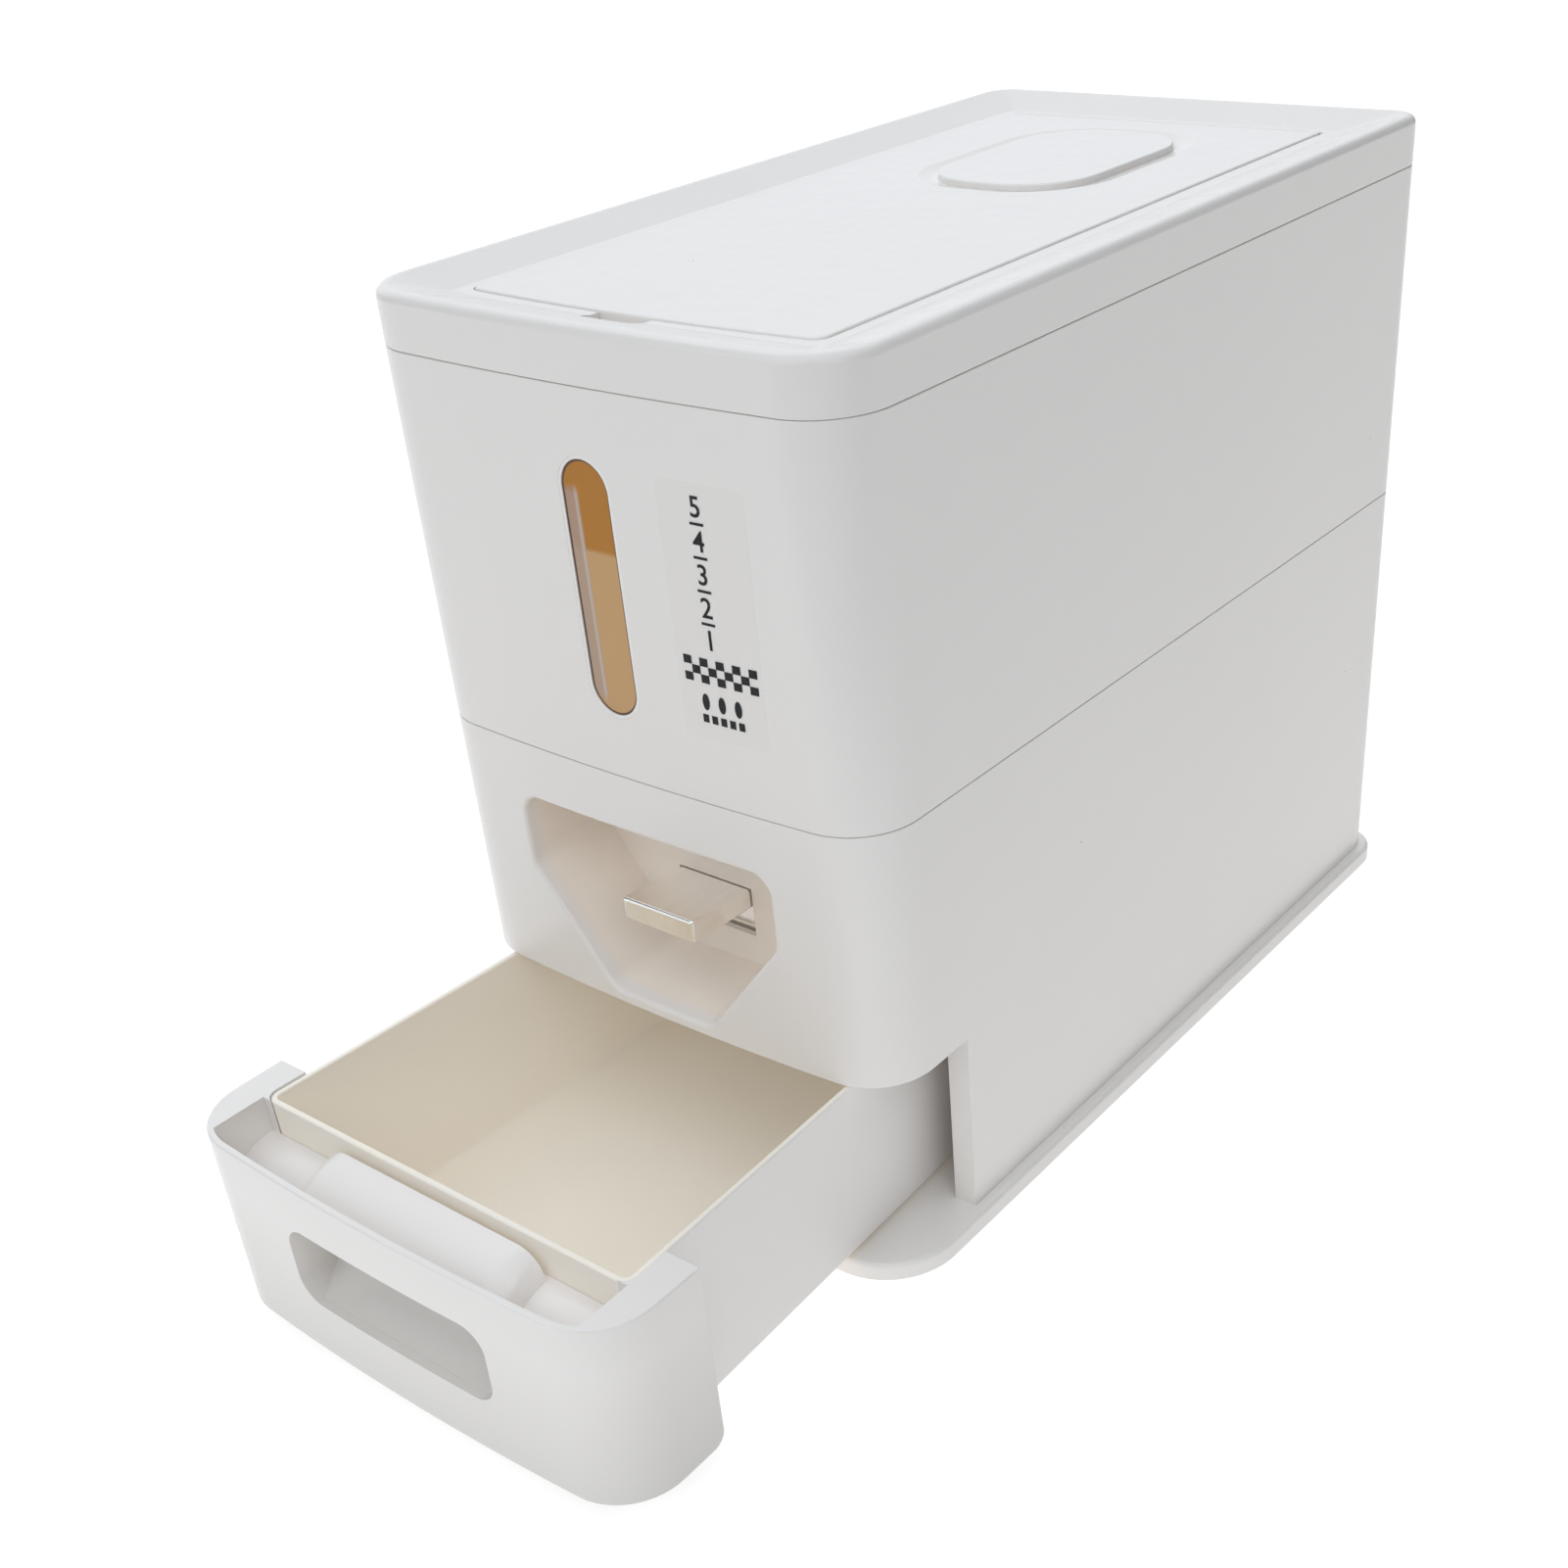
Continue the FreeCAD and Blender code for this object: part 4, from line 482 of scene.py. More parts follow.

# %% [markdown]
# The casing is glossy white ABS, injection moulded in a polished tool. A flat white shader would
# look like paper. Real mouldings have a slow ripple where the wall shrank while cooling, a much
# finer orange peel, a gloss that isn't quite even, and a few dark grains in the plastic. All four
# are made with noise at their real sizes. The seams between mouldings could be real grooves, but the
# shapes come in finished, so the same function can draw them as thin grey lines. It can also darken
# the colour towards the foot of a piece as painted shade, and warm the recess with painted light.

# %% Moulded plastic
SHELL_WHITE = (0.872, 0.840, 0.812)
SHELL_SHADE = (0.863, 0.831, 0.803)
FOOT_SHADE_WHITE = (0.66, 0.64, 0.605)
RECESS_WARM = (0.91, 0.835, 0.755)
RECESS_GLOW = 0.018
SEAM_GREY = (0.56, 0.54, 0.51)
SEAM_HALF_MM = 0.17
SEAM_BLUR_MM = 0.1
SPECK_DARK = (0.10, 0.09, 0.08)
SPECK_CELL_MM = 26
SPECK_RADIUS_MM = 0.32
CLOUD_MM = 60
GLOSS_PATCH_MM = 9
RIPPLE_MM, RIPPLE_DEPTH_MM = 45, 0.006
PEEL_MM, PEEL_DEPTH_MM = 1.6, 0.0008
PLASTIC_IOR = 1.52


def moulded_plastic(name, light, shade, gloss, specks=True, seams_mm=(), foot_shade_mm=None, warm=False):
    """Moulded plastic: two near colours, uneven gloss, slow ripple and fine orange peel."""
    finish = Finish(name)
    colour = finish.mix(finish.spread(finish.noise(CLOUD_MM), 0, 1), shade, light)
    if specks:
        colour = finish.mix(finish.specks(SPECK_CELL_MM, SPECK_RADIUS_MM), colour, SPECK_DARK)
    _, _, height = finish.parts(finish.place)
    for seam_mm in seams_mm:
        in_seam = finish.between(height, seam_mm - SEAM_HALF_MM, seam_mm + SEAM_HALF_MM, SEAM_BLUR_MM)
        colour = finish.mix(in_seam, colour, SEAM_GREY)
    # Painted shade: the colour darkens towards the foot of the piece, up to this height.
    if foot_shade_mm is not None:
        colour = finish.mix(finish.spread(height, 0, 1, 0, foot_shade_mm * MM), FOOT_SHADE_WHITE, colour)
    if warm:
        inside = in_recess(finish)
        colour = finish.mix(inside, colour, RECESS_WARM)
        finish.drive("Emission Strength", finish.spread(inside, 0, RECESS_GLOW, 0, 1))
        finish.set(Emission_Color=(*RECESS_WARM, 1))
    finish.drive("Base Color", colour)
    finish.drive("Roughness", finish.spread(finish.noise(GLOSS_PATCH_MM), *gloss))
    ripple = finish.bump(finish.noise(RIPPLE_MM, detail=0), RIPPLE_DEPTH_MM)
    finish.drive("Normal", finish.bump(finish.noise(PEEL_MM, detail=1), PEEL_DEPTH_MM, under=ripple))
    finish.set(IOR=PLASTIC_IOR)
    return finish.material


print("moulded plastic ready")

# %% [markdown]
# Three finishes share the casing's white. Most outer pieces wear the plain one, which draws the two
# seams at their heights. The housing's has the warm recess too. The drawer front's has no seams, and
# its colour darkens towards its foot as painted shade. The finishes are kept by the name of the
# material slot that they go into, and the two special ones by the name of their piece.

# %% White casing
CASING_GLOSS = (0.20, 0.25)
DRAWER_FOOT_SHADE_MM = 60

seams_mm = [corners(piece)[1].z / MM for piece in ("lower_housing", "upper_bin")]
casing = {"light": SHELL_WHITE, "shade": SHELL_SHADE, "gloss": CASING_GLOSS}
finishes = {"shell_white": moulded_plastic("casing_white", **casing, seams_mm=seams_mm)}
special_finishes = {
    "drawer_front": moulded_plastic("drawer_white", **casing, foot_shade_mm=DRAWER_FOOT_SHADE_MM),
    "lower_housing": moulded_plastic("housing_white", **casing, seams_mm=seams_mm, warm=True),
}
print("seams at", [round(seam, 1) for seam in seams_mm], "mm up")

# %% [markdown]
# The drawer tray holds the rice. It is the casing's white on the outside, but inside it looks
# creamy and softly lit, because light bounces from wall to wall. One piece needs both, so the
# finish tells its sides apart: on an outer side wall the place's x and the surface's x direction
# have the same sign, and their product is large. On the inner walls it is below zero, and on the
# floor and the end walls it is about zero. All of these get the cream and a very faint warm glow,
# which are painted bounce light. Two pieces would be another way, but on the real object the tray
# is a single moulding.

# %% Tray
TRAY_BOUNCE_CREAM = (0.90, 0.85, 0.765)
TRAY_BOUNCE_SHADE = (0.89, 0.84, 0.75)
TRAY_BOUNCE_GLOW = (1.0, 0.91, 0.80)
TRAY_BOUNCE_GLOW_STRENGTH = 0.062
TRAY_GLOSS = (0.30, 0.40)
TRAY_RIPPLE_DEPTH_MM = 0.01
OUTSIDE_FROM_M, OUTSIDE_TO_M = 0.03, 0.05


def tray_plastic():
    """White outside, and on the inner walls and the floor a cream and a faint glow of painted bounce
    light.
    """
    finish = Finish("tray_bounce_cream")
    across, _, _ = finish.parts(finish.place)
    facing, _, _ = finish.parts(finish.place.node.outputs["Normal"])
    product = finish.maths("MULTIPLY", across, facing)
    outside = finish.spread(product, 0, 1, OUTSIDE_FROM_M, OUTSIDE_TO_M)
    inside = finish.mix(finish.spread(finish.noise(CLOUD_MM), 0, 1), TRAY_BOUNCE_SHADE, TRAY_BOUNCE_CREAM)
    finish.drive("Base Color", finish.mix(outside, inside, SHELL_WHITE))
    finish.drive("Emission Strength", finish.spread(outside, TRAY_BOUNCE_GLOW_STRENGTH, 0, 0, 1))
    finish.drive("Roughness", finish.spread(finish.noise(GLOSS_PATCH_MM), *TRAY_GLOSS))
    finish.drive("Normal", finish.bump(finish.noise(RIPPLE_MM, detail=0), TRAY_RIPPLE_DEPTH_MM))
    finish.set(IOR=PLASTIC_IOR, Emission_Color=(*TRAY_BOUNCE_GLOW, 1))
    return finish.material


finishes["tray_plastic"] = tray_plastic()
print("tray plastic made")

# %% [markdown]
# The parts inside are plain satin mouldings, and the two bearings are a grey bearing plastic. They
# are the same kind of moulding as the casing, so they use the same function with other colours, a
# duller gloss and no specks.

# %% Inner and bearing plastics
INNER_WHITE = (0.74, 0.73, 0.71)
INNER_SHADE = (0.71, 0.70, 0.67)
BUSH_GREY = (0.27, 0.28, 0.30)
BUSH_SHADE = (0.24, 0.25, 0.27)

finishes["inner_plastic"] = moulded_plastic(
    "inner_satin", INNER_WHITE, INNER_SHADE, gloss=(0.42, 0.55), specks=False)
finishes["bush_plastic"] = moulded_plastic(
    "bearing_grey", BUSH_GREY, BUSH_SHADE, gloss=(0.5, 0.6), specks=False)
print("inner and bearing plastics made")

# %% [markdown]
# The lever wears a bright plated cover. Plating is a metal shader with little roughness. Plating
# on thin sheet isn't a perfect mirror: it has a soft ripple and faint wipe marks. The shader's own
# anisotropy could smear the reflections, but it shows no marks, so a stretched noise makes them.
# Screws, shaft, clips and springs are drawn steel: darker, duller and with a finer grain.

# %% Bright plating and plain steel
PLATE_BRIGHT = (0.995, 0.985, 0.965)
PLATE_DIM = (0.95, 0.94, 0.92)
STEEL_LIGHT = (0.52, 0.50, 0.47)
STEEL_DARK = (0.40, 0.385, 0.36)


def metal(name, light, dark, gloss, grain_mm, stretch, depth_mm):
    """Metal with marks that run along one direction."""
    finish = Finish(name)
    along = finish.node("ShaderNodeMapping")
    along.inputs["Scale"].default_value = stretch
    finish.join(finish.place, along.inputs["Vector"])
    marks = finish.noise(grain_mm, detail=3)
    finish.join(along.outputs["Vector"], marks.node.inputs["Vector"])
    finish.drive("Base Color", finish.mix(finish.spread(marks, 0, 1), dark, light))
    finish.drive("Roughness", finish.spread(marks, *gloss))
    finish.drive("Normal", finish.bump(marks, depth_mm))
    finish.set(Metallic=1.0)
    return finish.material


finishes["bright_plate"] = metal("bright_plating", PLATE_BRIGHT, PLATE_DIM, gloss=(0.10, 0.18),
                                 grain_mm=2.5, stretch=(1, 0.15, 1), depth_mm=0.002)
finishes["steel"] = metal("plain_steel", STEEL_LIGHT, STEEL_DARK, gloss=(0.28, 0.42),
                          grain_mm=0.6, stretch=(0.2, 1, 1), depth_mm=0.004)
print("metals made")

# %% [markdown]
# The seals are soft milky silicone and the feet dark rubber: rough, with a fine grain. The drying
# sachet is non-woven paper, whose short fibres make a blotchy, rough surface. All three differ only
# in colour and in the size and depth of the grain, so one function makes them.

# %% Rubber and sachet paper
SEAL_WHITE = (0.93, 0.91, 0.88)
SEAL_SHADE = (0.89, 0.87, 0.84)
FOOT_GREY = (0.045, 0.045, 0.048)
FOOT_SHADE = (0.032, 0.032, 0.034)
PAPER_WHITE = (0.76, 0.75, 0.72)
PAPER_SHADE = (0.62, 0.61, 0.58)


def grained(name, light, dark, gloss, grain_mm, depth_mm):
    """A rough material whose colour, gloss and relief share one fine grain."""
    finish = Finish(name)
    grain = finish.noise(grain_mm, detail=4)
    finish.drive("Base Color", finish.mix(finish.spread(grain, 0, 1), dark, light))
    finish.drive("Roughness", finish.spread(grain, *gloss))
    finish.drive("Normal", finish.bump(grain, depth_mm))
    return finish.material


finishes["seal_rubber"] = grained(
    "seal_rubber", SEAL_WHITE, SEAL_SHADE, gloss=(0.45, 0.6), grain_mm=0.8, depth_mm=0.01)
finishes["foot_rubber"] = grained(
    "foot_rubber", FOOT_GREY, FOOT_SHADE, gloss=(0.6, 0.8), grain_mm=0.5, depth_mm=0.03)
finishes["sachet_paper"] = grained(
    "sachet_paper", PAPER_WHITE, PAPER_SHADE, gloss=(0.8, 0.95), grain_mm=1.2, depth_mm=0.08)
print("rubber and paper made")

# %% [markdown]
# The window is a clear amber moulding set in the tank wall. Its rim is a thin dark line, where one
# looks along the thickness of the moulding, and here that line is painted shade on the pane. It
# could be a ring of its own, but then it would lie on the window and not in it. So it is measured as
# a distance from the window's upright middle line.
# That line stops short of the window's round ends by their radius, which makes the distance to the
# outline the same all round.

# %% Distance from the window's middle line
FLANGE_MM = 3.0
SLOT_HALF_MM = 10.5


def from_middle_line(finish, across, height):
    middle = (pane_low.z + pane_high.z) / 2
    straight = pane_high.z - middle - (FLANGE_MM + SLOT_HALF_MM) * MM
    up = finish.maths("ABSOLUTE", finish.maths("SUBTRACT", height, middle))
    beyond = finish.maths("MAXIMUM", finish.maths("SUBTRACT", up, straight), 0.0)
    squares = [finish.maths("MULTIPLY", side, side) for side in (across, beyond)]
    return finish.maths("SQRT", finish.maths("ADD", *squares))


print("window slot", 2 * SLOT_HALF_MM, "mm wide")

# %% [markdown]
# Light reaches the window from inside the white tank, so it glows rather than being dark, and it is
# two tones: deep amber in its upper third and paler below that. On the left the inner edge of the
# slot shows through it as a greyer upright strip with a bright line. A shader that only lets light
# through would show the dark inside of a closed box, so this one is part clear and part coloured.
# The two tones are painted light from inside the tank, the strip is a painted view of the slot's
# edge and the line a painted highlight, all measured on the pane itself, across it and up it.

# %% Amber window
AMBER_DEEP = (0.64, 0.25, 0.002)
AMBER_PALE = (0.80, 0.48, 0.20)
AMBER_RIM = (0.16, 0.07, 0.03)
STRIP_GREY = (0.62, 0.46, 0.37)
LINE_PALE = (0.86, 0.74, 0.66)
TONE_CHANGE_SHARE = 0.36
TONE_BLUR_MM = 0.8
RIM_FROM_MM, RIM_TO_MM = 8.55, 8.75
STRIP_FROM_MM, STRIP_TO_MM = -9.2, -3.4
STRIP_LOW_MM, STRIP_HIGH_MM = 196.0, 262.0
STRIP_BLUR_MM, STRIP_END_BLUR_MM = 0.6, 3.0
STRIP_SHARE = 0.75
LINE_FROM_MM, LINE_TO_MM = -5.0, -3.8
LINE_BLUR_MM = 0.5
LINE_SHARE = 0.6
WINDOW_GLOSS = (0.04, 0.09)
WINDOW_PATCH_MM = 7
WINDOW_RIPPLE_MM, WINDOW_RIPPLE_DEPTH_MM = 20, 0.02
WINDOW_CLEAR_SHARE = 0.3
WINDOW_IOR = 1.42


def window_colour(finish):
    """Painted light in two tones of amber, with the painted strip, line and dark rim on them."""
    across, _, height = finish.parts(finish.place)
    change_z = pane_high.z - TONE_CHANGE_SHARE * (pane_high.z - pane_low.z)
    blur = TONE_BLUR_MM * MM
    upper = finish.spread(height, 0, 1, change_z - blur, change_z + blur)
    colour = finish.mix(upper, AMBER_PALE, AMBER_DEEP)
    level = finish.between(height, STRIP_LOW_MM, STRIP_HIGH_MM, STRIP_END_BLUR_MM)
    on_strip = finish.between(across, STRIP_FROM_MM, STRIP_TO_MM, STRIP_BLUR_MM)
    on_line = finish.between(across, LINE_FROM_MM, LINE_TO_MM, LINE_BLUR_MM)
    for place, share, tone in ((on_strip, STRIP_SHARE, STRIP_GREY), (on_line, LINE_SHARE, LINE_PALE)):
        amount = finish.maths("MULTIPLY", place, finish.maths("MULTIPLY", level, share))
        colour = finish.mix(amount, colour, tone)
    distance = from_middle_line(finish, across, height)
    # The dark rim line is painted shade, standing in for the view along the moulding's thickness.
    rim = finish.spread(distance, 0, 1, RIM_FROM_MM * MM, RIM_TO_MM * MM)
    return finish.mix(rim, colour, AMBER_RIM)


def amber_window():
    finish = Finish("amber_window")
    finish.drive("Base Color", window_colour(finish))
    finish.drive("Roughness", finish.spread(finish.noise(WINDOW_PATCH_MM), *WINDOW_GLOSS))
    finish.drive("Normal", finish.bump(finish.noise(WINDOW_RIPPLE_MM, detail=0), WINDOW_RIPPLE_DEPTH_MM))
    finish.set(Transmission_Weight=WINDOW_CLEAR_SHARE, IOR=WINDOW_IOR)
    return finish.material


finishes["window_tint"] = amber_window()
print("window changes tone", round(TONE_CHANGE_SHARE * 100), "% down from its top")

# %% [markdown]
# Each piece comes in with one material slot, which names its kind of finish. Giving out finishes
# piece by piece would need a long list, so the slot's name picks the finish, and a piece that has a
# special finish gets that one instead.

# %% Put the finishes on
for name, piece in pieces.items():
    slot_name = piece.material_slots[0].material.name
    piece.material_slots[0].material = special_finishes.get(name, finishes[slot_name])
print(len(pieces), "pieces finished with", len(finishes) + len(special_finishes), "finishes")

# %% [markdown]
# Two coil springs under the lever's crossbar push it back up, and get shorter as it comes down. A
# stiff piece can't do that, so the pair is made again here as one mesh, which this script leaves at
# its full height. A coil could be a curve with a bevel, but only a mesh can flatten, so each one is a
# tube of small rings along a helix, closed at both ends.

# %% One coil
WIRE_RADIUS_MM = 0.45
COIL_TURNS = 8
RINGS_PER_TURN = 24
RING_POINTS = 8

spring_low, spring_high = corners("return_springs")
wire_radius = WIRE_RADIUS_MM * MM
coil_radius = (spring_high.y - spring_low.y) / 2 - wire_radius
coil_y = (spring_high.y + spring_low.y) / 2


def wire_ring(mesh, middle, outwards):
    """A ring of points round the wire, upright and facing along it."""
    ring = []
    for k in range(RING_POINTS):
        angle = 2 * math.pi * k / RING_POINTS
        step = outwards * math.cos(angle) + Vector((0, 0, math.sin(angle)))
        ring.append(mesh.verts.new(middle + step * wire_radius))
    return ring


def coil(mesh, centre_x):
    """One coil: rings of points round the wire, each joined to the one before."""
    count = COIL_TURNS * RINGS_PER_TURN
    rise = spring_high.z - spring_low.z - 2 * wire_radius
    before = None
    for i in range(count + 1):
        turn = 2 * math.pi * i / RINGS_PER_TURN
        outwards = Vector((math.cos(turn), math.sin(turn), 0))
        axis_point = Vector((centre_x, coil_y, spring_low.z + wire_radius + rise * i / count))
        ring = wire_ring(mesh, axis_point + outwards * coil_radius, outwards)
        if before is None:
            mesh.faces.new(ring)
        else:
            for k in range(RING_POINTS):
                after = (k + 1) % RING_POINTS
                mesh.faces.new((before[k], before[after], ring[after], ring[k]))
        before = ring
    mesh.faces.new(list(reversed(before)))


print("coil radius", round(coil_radius / MM, 2), "mm")

# %% [markdown]
# How short the coils get is worked out from the joint. The crossbar turns about the lever's pivot,
# so its underside comes down furthest at the coil's front edge, and it has to clear that edge. The
# share of the height that is left could be found by trial, but then it would be wrong as soon as
# the lever's travel changed.

# %% Return springs
PRESSED_GAP_MM = 0.1


def pressed_share():
    """How much of the coils' height is left when the lever is fully pressed."""
    press = next(joint for joint in frame["joints"] if joint["name"] == "lever_press")
    angle = math.radians(max(press["range_deg"]))
    pivot = Vector(press["pos_m"])
    ahead = pivot.y - spring_low.y
    below = pivot.z - spring_high.z
    lowest = pivot.z - below * math.cos(angle) - ahead * math.sin(angle) - PRESSED_GAP_MM * MM
    return (lowest - spring_low.z) / (spring_high.z - spring_low.z)


def make_springs():
    mesh = bmesh.new()
    for centre_x in (spring_low.x + coil_radius + wire_radius, spring_high.x - coil_radius - wire_radius):
        coil(mesh, centre_x)
    bmesh.ops.recalc_face_normals(mesh, faces=mesh.faces)
    for face in mesh.faces:
        face.smooth = True
    data = bpy.data.meshes.new("coil_springs")
    mesh.to_mesh(data)
    mesh.free()
    springs = bpy.data.objects.new("coil_springs", data)
    bpy.context.scene.collection.objects.link(springs)
    data.materials.append(finishes["steel"])
    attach(springs, "housing")
    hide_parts("return_springs")
    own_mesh(springs)


make_springs()
print("coils", round((spring_high.z - spring_low.z) / MM, 1), "mm high")
print("share left when pressed", round(pressed_share(), 2))

# %% [markdown]
# A clear sticker on the front carries the printed marks. The front isn't flat: it bows outwards by
# almost 4 mm, so a flat sticker would sink into it at one edge. A ray sent at the tank would find
# the wall, but the wall's mesh is made of narrow flats, and a glossy sticker would show each one.
# The bow is an arc of a circle, so each corner of each mark is worked out from the circle instead.

# %% Helpers for thin printed pieces
FRONT_BOW_MM = 3.8
WELD_MM = 0.01


def on_front(x, z, lift_mm):
    """The point this far in front of the tank wall, for a width and a height in millimetres."""
    half_width = tank_high.x / MM
    bow_radius = (half_width ** 2 + FRONT_BOW_MM ** 2) / (2 * FRONT_BOW_MM)
    behind_middle = bow_radius - math.sqrt(bow_radius ** 2 - x ** 2)
    return Vector((x * MM, front_y + (behind_middle - lift_mm) * MM, z * MM))


def print_piece(name, shapes, lift_mm, thick_mm, finish, weld=False):
    """Thin plates on the tank's front, one for each outline of (x, z) points."""
    mesh = bmesh.new()
    for shape in shapes:
        mesh.faces.new([mesh.verts.new(on_front(x, z, lift_mm)) for x, z in shape])
    if weld:
        bmesh.ops.remove_doubles(mesh, verts=mesh.verts, dist=WELD_MM * MM)
    data = bpy.data.meshes.new(name)
    mesh.to_mesh(data)
    mesh.free()
    piece = bpy.data.objects.new(name, data)
    bpy.context.scene.collection.objects.link(piece)
    plate = piece.modifiers.new("plate", "SOLIDIFY")
    plate.thickness = thick_mm * MM
    plate.offset = 1
    piece.data.materials.append(finish)
    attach(piece, "housing")
    return piece


print("front bows out by", FRONT_BOW_MM, "mm")

# %% [markdown]
# The clear film is nearly invisible: it only shows by its edge and by a slightly different gloss.
# One flat face would sink into the bowed wall, so the film is divided into upright strips that bend
# with it. The strips are narrower near the film's sides, which keeps its corners round.

# %% Shape of the film
FILM_LEFT = 28.5
FILM_WIDTH = 32.0
FILM_ABOVE_PANE_FOOT = 5
FILM_BELOW_PANE_HEAD = 4.5
FILM_LOW = pane_low.z / MM + FILM_ABOVE_PANE_FOOT
FILM_HIGH = pane_high.z / MM - FILM_BELOW_PANE_HEAD
FILM_CORNER = 2.0
FILM_STRIPS = 16


def corner_cut(x):
    """How far the corner rounding shortens the film at this place across it."""
    near_edge = min(x - FILM_LEFT, FILM_LEFT + FILM_WIDTH - x)
    into = max(0.0, FILM_CORNER - near_edge)
    return FILM_CORNER - math.sqrt(FILM_CORNER ** 2 - into ** 2)


def film_shapes():
    """Upright strips whose ends follow the film's rounded corners."""
    turns = [math.pi * i / FILM_STRIPS for i in range(FILM_STRIPS + 1)]
    edges = [FILM_LEFT + FILM_WIDTH * (1 - math.cos(turn)) / 2 for turn in turns]
    shapes = []
    for a, b in zip(edges, edges[1:]):
        cut_a, cut_b = corner_cut(a), corner_cut(b)
        shapes.append([(a, FILM_LOW + cut_a), (b, FILM_LOW + cut_b),
                       (b, FILM_HIGH - cut_b), (a, FILM_HIGH - cut_a)])
    return shapes


print("film", FILM_WIDTH, "by", round(FILM_HIGH - FILM_LOW, 1), "mm")

# %% [markdown]
# Real film is transparent. A glass shader would bend light and darken the wall behind it, which a
# film this thin doesn't do, so the film is plain plastic that is almost fully see-through.

# %% Clear film
FILM_THICK = 0.05
FILM_LIFT = 0.02
FILM_WHITE = (0.86, 0.84, 0.80, 1)
FILM_ALPHA = 0.03
FILM_IOR = 1.30
FILM_GLOSS = (0.10, 0.22)
FILM_PATCH_MM = 6
FILM_WAVE_MM, FILM_WAVE_DEPTH_MM = 14, 0.03


def clear_film():
    finish = Finish("clear_film")
    finish.drive("Roughness", finish.spread(finish.noise(FILM_PATCH_MM), *FILM_GLOSS))
    finish.drive("Normal", finish.bump(finish.noise(FILM_WAVE_MM, detail=1), FILM_WAVE_DEPTH_MM))
    finish.set(Base_Color=FILM_WHITE, Alpha=FILM_ALPHA, IOR=FILM_IOR)
    return finish.material


film = print_piece("mark_film", film_shapes(), FILM_LIFT, FILM_THICK, clear_film(), weld=True)
print("film in", len(film.data.polygons), "strips")

# %% [markdown]
# The marks are printed in black ink, a little uneven and less glossy than the film. Ink could be
# painted by the wall's own finish, but it lies on the film, so each mark is a very thin plate.

# %% Black ink
INK_BLACK = (0.012, 0.012, 0.013)
INK_WORN = (0.030, 0.030, 0.032)
INK_GAP = 0.01
INK_LIFT = FILM_LIFT + FILM_THICK + INK_GAP
INK_THICK = 0.02
INK_GRAIN_MM = 0.9
INK_GLOSS = (0.45, 0.60)
INK_GLOSS_PATCH_MM = 2
INK_SPECULAR = 0.2


def black_ink():
    finish = Finish("black_ink")
    wear = finish.spread(finish.noise(INK_GRAIN_MM, detail=3), 0, 1)
    finish.drive("Base Color", finish.mix(wear, INK_BLACK, INK_WORN))
    finish.drive("Roughness", finish.spread(finish.noise(INK_GLOSS_PATCH_MM), *INK_GLOSS))
    finish.set(Specular_IOR_Level=INK_SPECULAR)
    return finish.material


ink = black_ink()
print("ink lies", round(INK_LIFT, 2), "mm in front of the wall")

# %% [markdown]
# The upper marks are a plain level scale, numbers with a short line between them. Blender's own
# font draws the numbers. A text object would be flat, so the outlines of its faces are taken, and
# each corner is laid on the bowed wall.

# %% Level scale
SCALE_CENTRE = 42.5
SCALE_LOW = 224.6
SCALE_HIGH = 264.4
LEVELS = 5
NUMBER_HEIGHT = 6.2
NUMBER_WEIGHT = 0.008
TICK_WIDTH, TICK_HEIGHT = 5.0, 0.8


def number_shapes(text, centre_x, centre_z, height):
    """Outlines of a number's faces, centred at a place on the front."""
    curve = bpy.data.curves.new("number", "FONT")
    curve.body = text
    curve.align_x = "CENTER"
    curve.offset = NUMBER_WEIGHT
    letter = bpy.data.objects.new("number", curve)
    mesh = bpy.data.meshes.new_from_object(letter)
    points = [vertex.co.copy() for vertex in mesh.vertices]
    faces = [list(face.vertices) for face in mesh.polygons]
    for data, store in ((letter, bpy.data.objects), (mesh, bpy.data.meshes), (curve, bpy.data.curves)):
        store.remove(data)
    low, high = min(p.y for p in points), max(p.y for p in points)
    size = height / (high - low)
    places = [(centre_x + p.x * size, centre_z + (p.y - (low + high) / 2) * size) for p in points]
    return [[places[i] for i in face] for face in faces]


def bar_shape(centre_x, centre_z, width, height):
    """An upright rectangle."""
    left, low = centre_x - width / 2, centre_z - height / 2
    return [(left, low), (left + width, low), (left + width, low + height), (left, low + height)]


def level_scale():
    step = (SCALE_HIGH - SCALE_LOW) / (LEVELS - 1)
    shapes = []
    for level in range(LEVELS):
        shapes += number_shapes(str(level + 1), SCALE_CENTRE, SCALE_LOW + level * step, NUMBER_HEIGHT)
    for gap in range(LEVELS - 1):
        shapes.append(bar_shape(SCALE_CENTRE, SCALE_LOW + (gap + 0.5) * step, TICK_WIDTH, TICK_HEIGHT))
    return shapes


scale = print_piece("level_scale", level_scale(), INK_LIFT, INK_THICK, ink)
print(LEVELS, "levels in", len(scale.data.polygons), "inked faces")

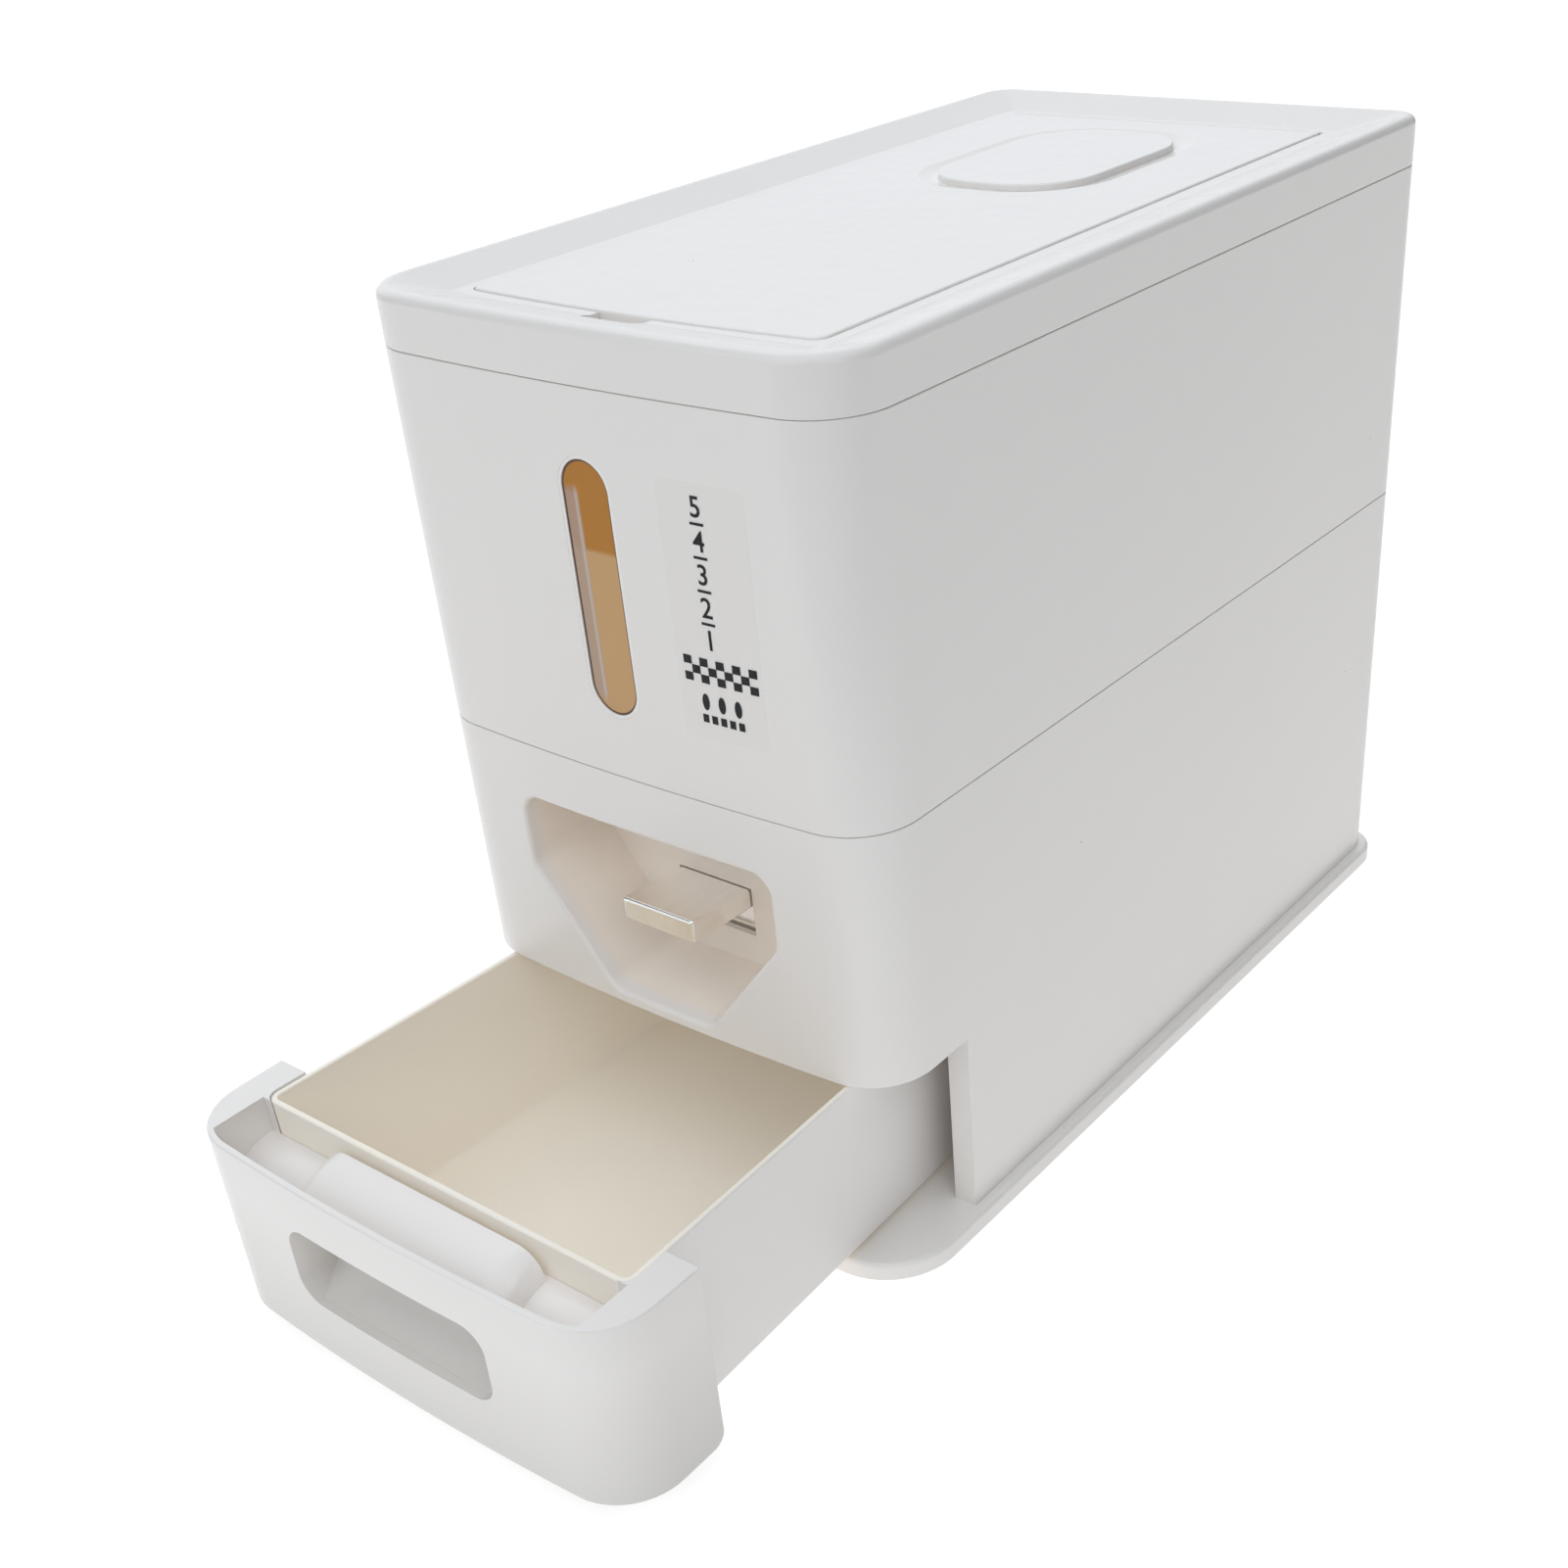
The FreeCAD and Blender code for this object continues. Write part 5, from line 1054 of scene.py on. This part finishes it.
# %% [markdown]
# Below the scale runs a band of checks, three rows of small black squares set corner to corner, an
# old and common pattern. A checker texture on the film could draw it, but it would need a mask for
# the band's outline and would shine like the film. So two loops place the squares, and a square is
# inked where row and column add up to an even number.

# %% Checked band
CHECK_ROWS = 3
CHECK_COLUMNS = 9
CHECK_LEFT = 31.2
CHECK_LOW = 210.5
CHECK_WIDTH = 3.05
CHECK_HEIGHT = 2.65


def checked_band():
    shapes = []
    for row in range(CHECK_ROWS):
        for column in range(CHECK_COLUMNS):
            if (row + column) % 2 == 0:
                shapes.append(bar_shape(CHECK_LEFT + (column + 0.5) * CHECK_WIDTH,
                                        CHECK_LOW + (row + 0.5) * CHECK_HEIGHT, CHECK_WIDTH, CHECK_HEIGHT))
    return shapes


band = print_piece("checked_band", checked_band(), INK_LIFT, INK_THICK, ink)
print(len(band.data.polygons), "inked squares")

# %% [markdown]
# Under the band are two short rows of plain ornament: three upright grains of rice and a row of
# small bars. The grains could be drawn point by point, but an ellipse needs only two sizes.

# %% Grains and bars
GRAIN_ROW = 204.4
GRAIN_COLUMNS = (38.0, 44.1, 50.2)
GRAIN_HALF_WIDTH = 1.35
GRAIN_HALF_HEIGHT = 2.7
GRAIN_POINTS = 20
BAR_ROW = 199.0
BAR_COUNT = 5
BAR_PITCH = 3.4
BAR_WIDTH, BAR_HEIGHT = 2.2, 2.6


def grain_shape(centre_x, centre_z):
    turns = [2 * math.pi * i / GRAIN_POINTS for i in range(GRAIN_POINTS)]
    return [(centre_x + GRAIN_HALF_WIDTH * math.cos(turn), centre_z + GRAIN_HALF_HEIGHT * math.sin(turn))
            for turn in turns]


def grains_and_bars():
    shapes = [grain_shape(x, GRAIN_ROW) for x in GRAIN_COLUMNS]
    left = GRAIN_COLUMNS[1] - (BAR_COUNT - 1) / 2 * BAR_PITCH
    for bar in range(BAR_COUNT):
        shapes.append(bar_shape(left + bar * BAR_PITCH, BAR_ROW, BAR_WIDTH, BAR_HEIGHT))
    return shapes


ornament = print_piece("grain_marks", grains_and_bars(), INK_LIFT, INK_THICK, ink)
print(len(ornament.data.polygons), "grains and bars")
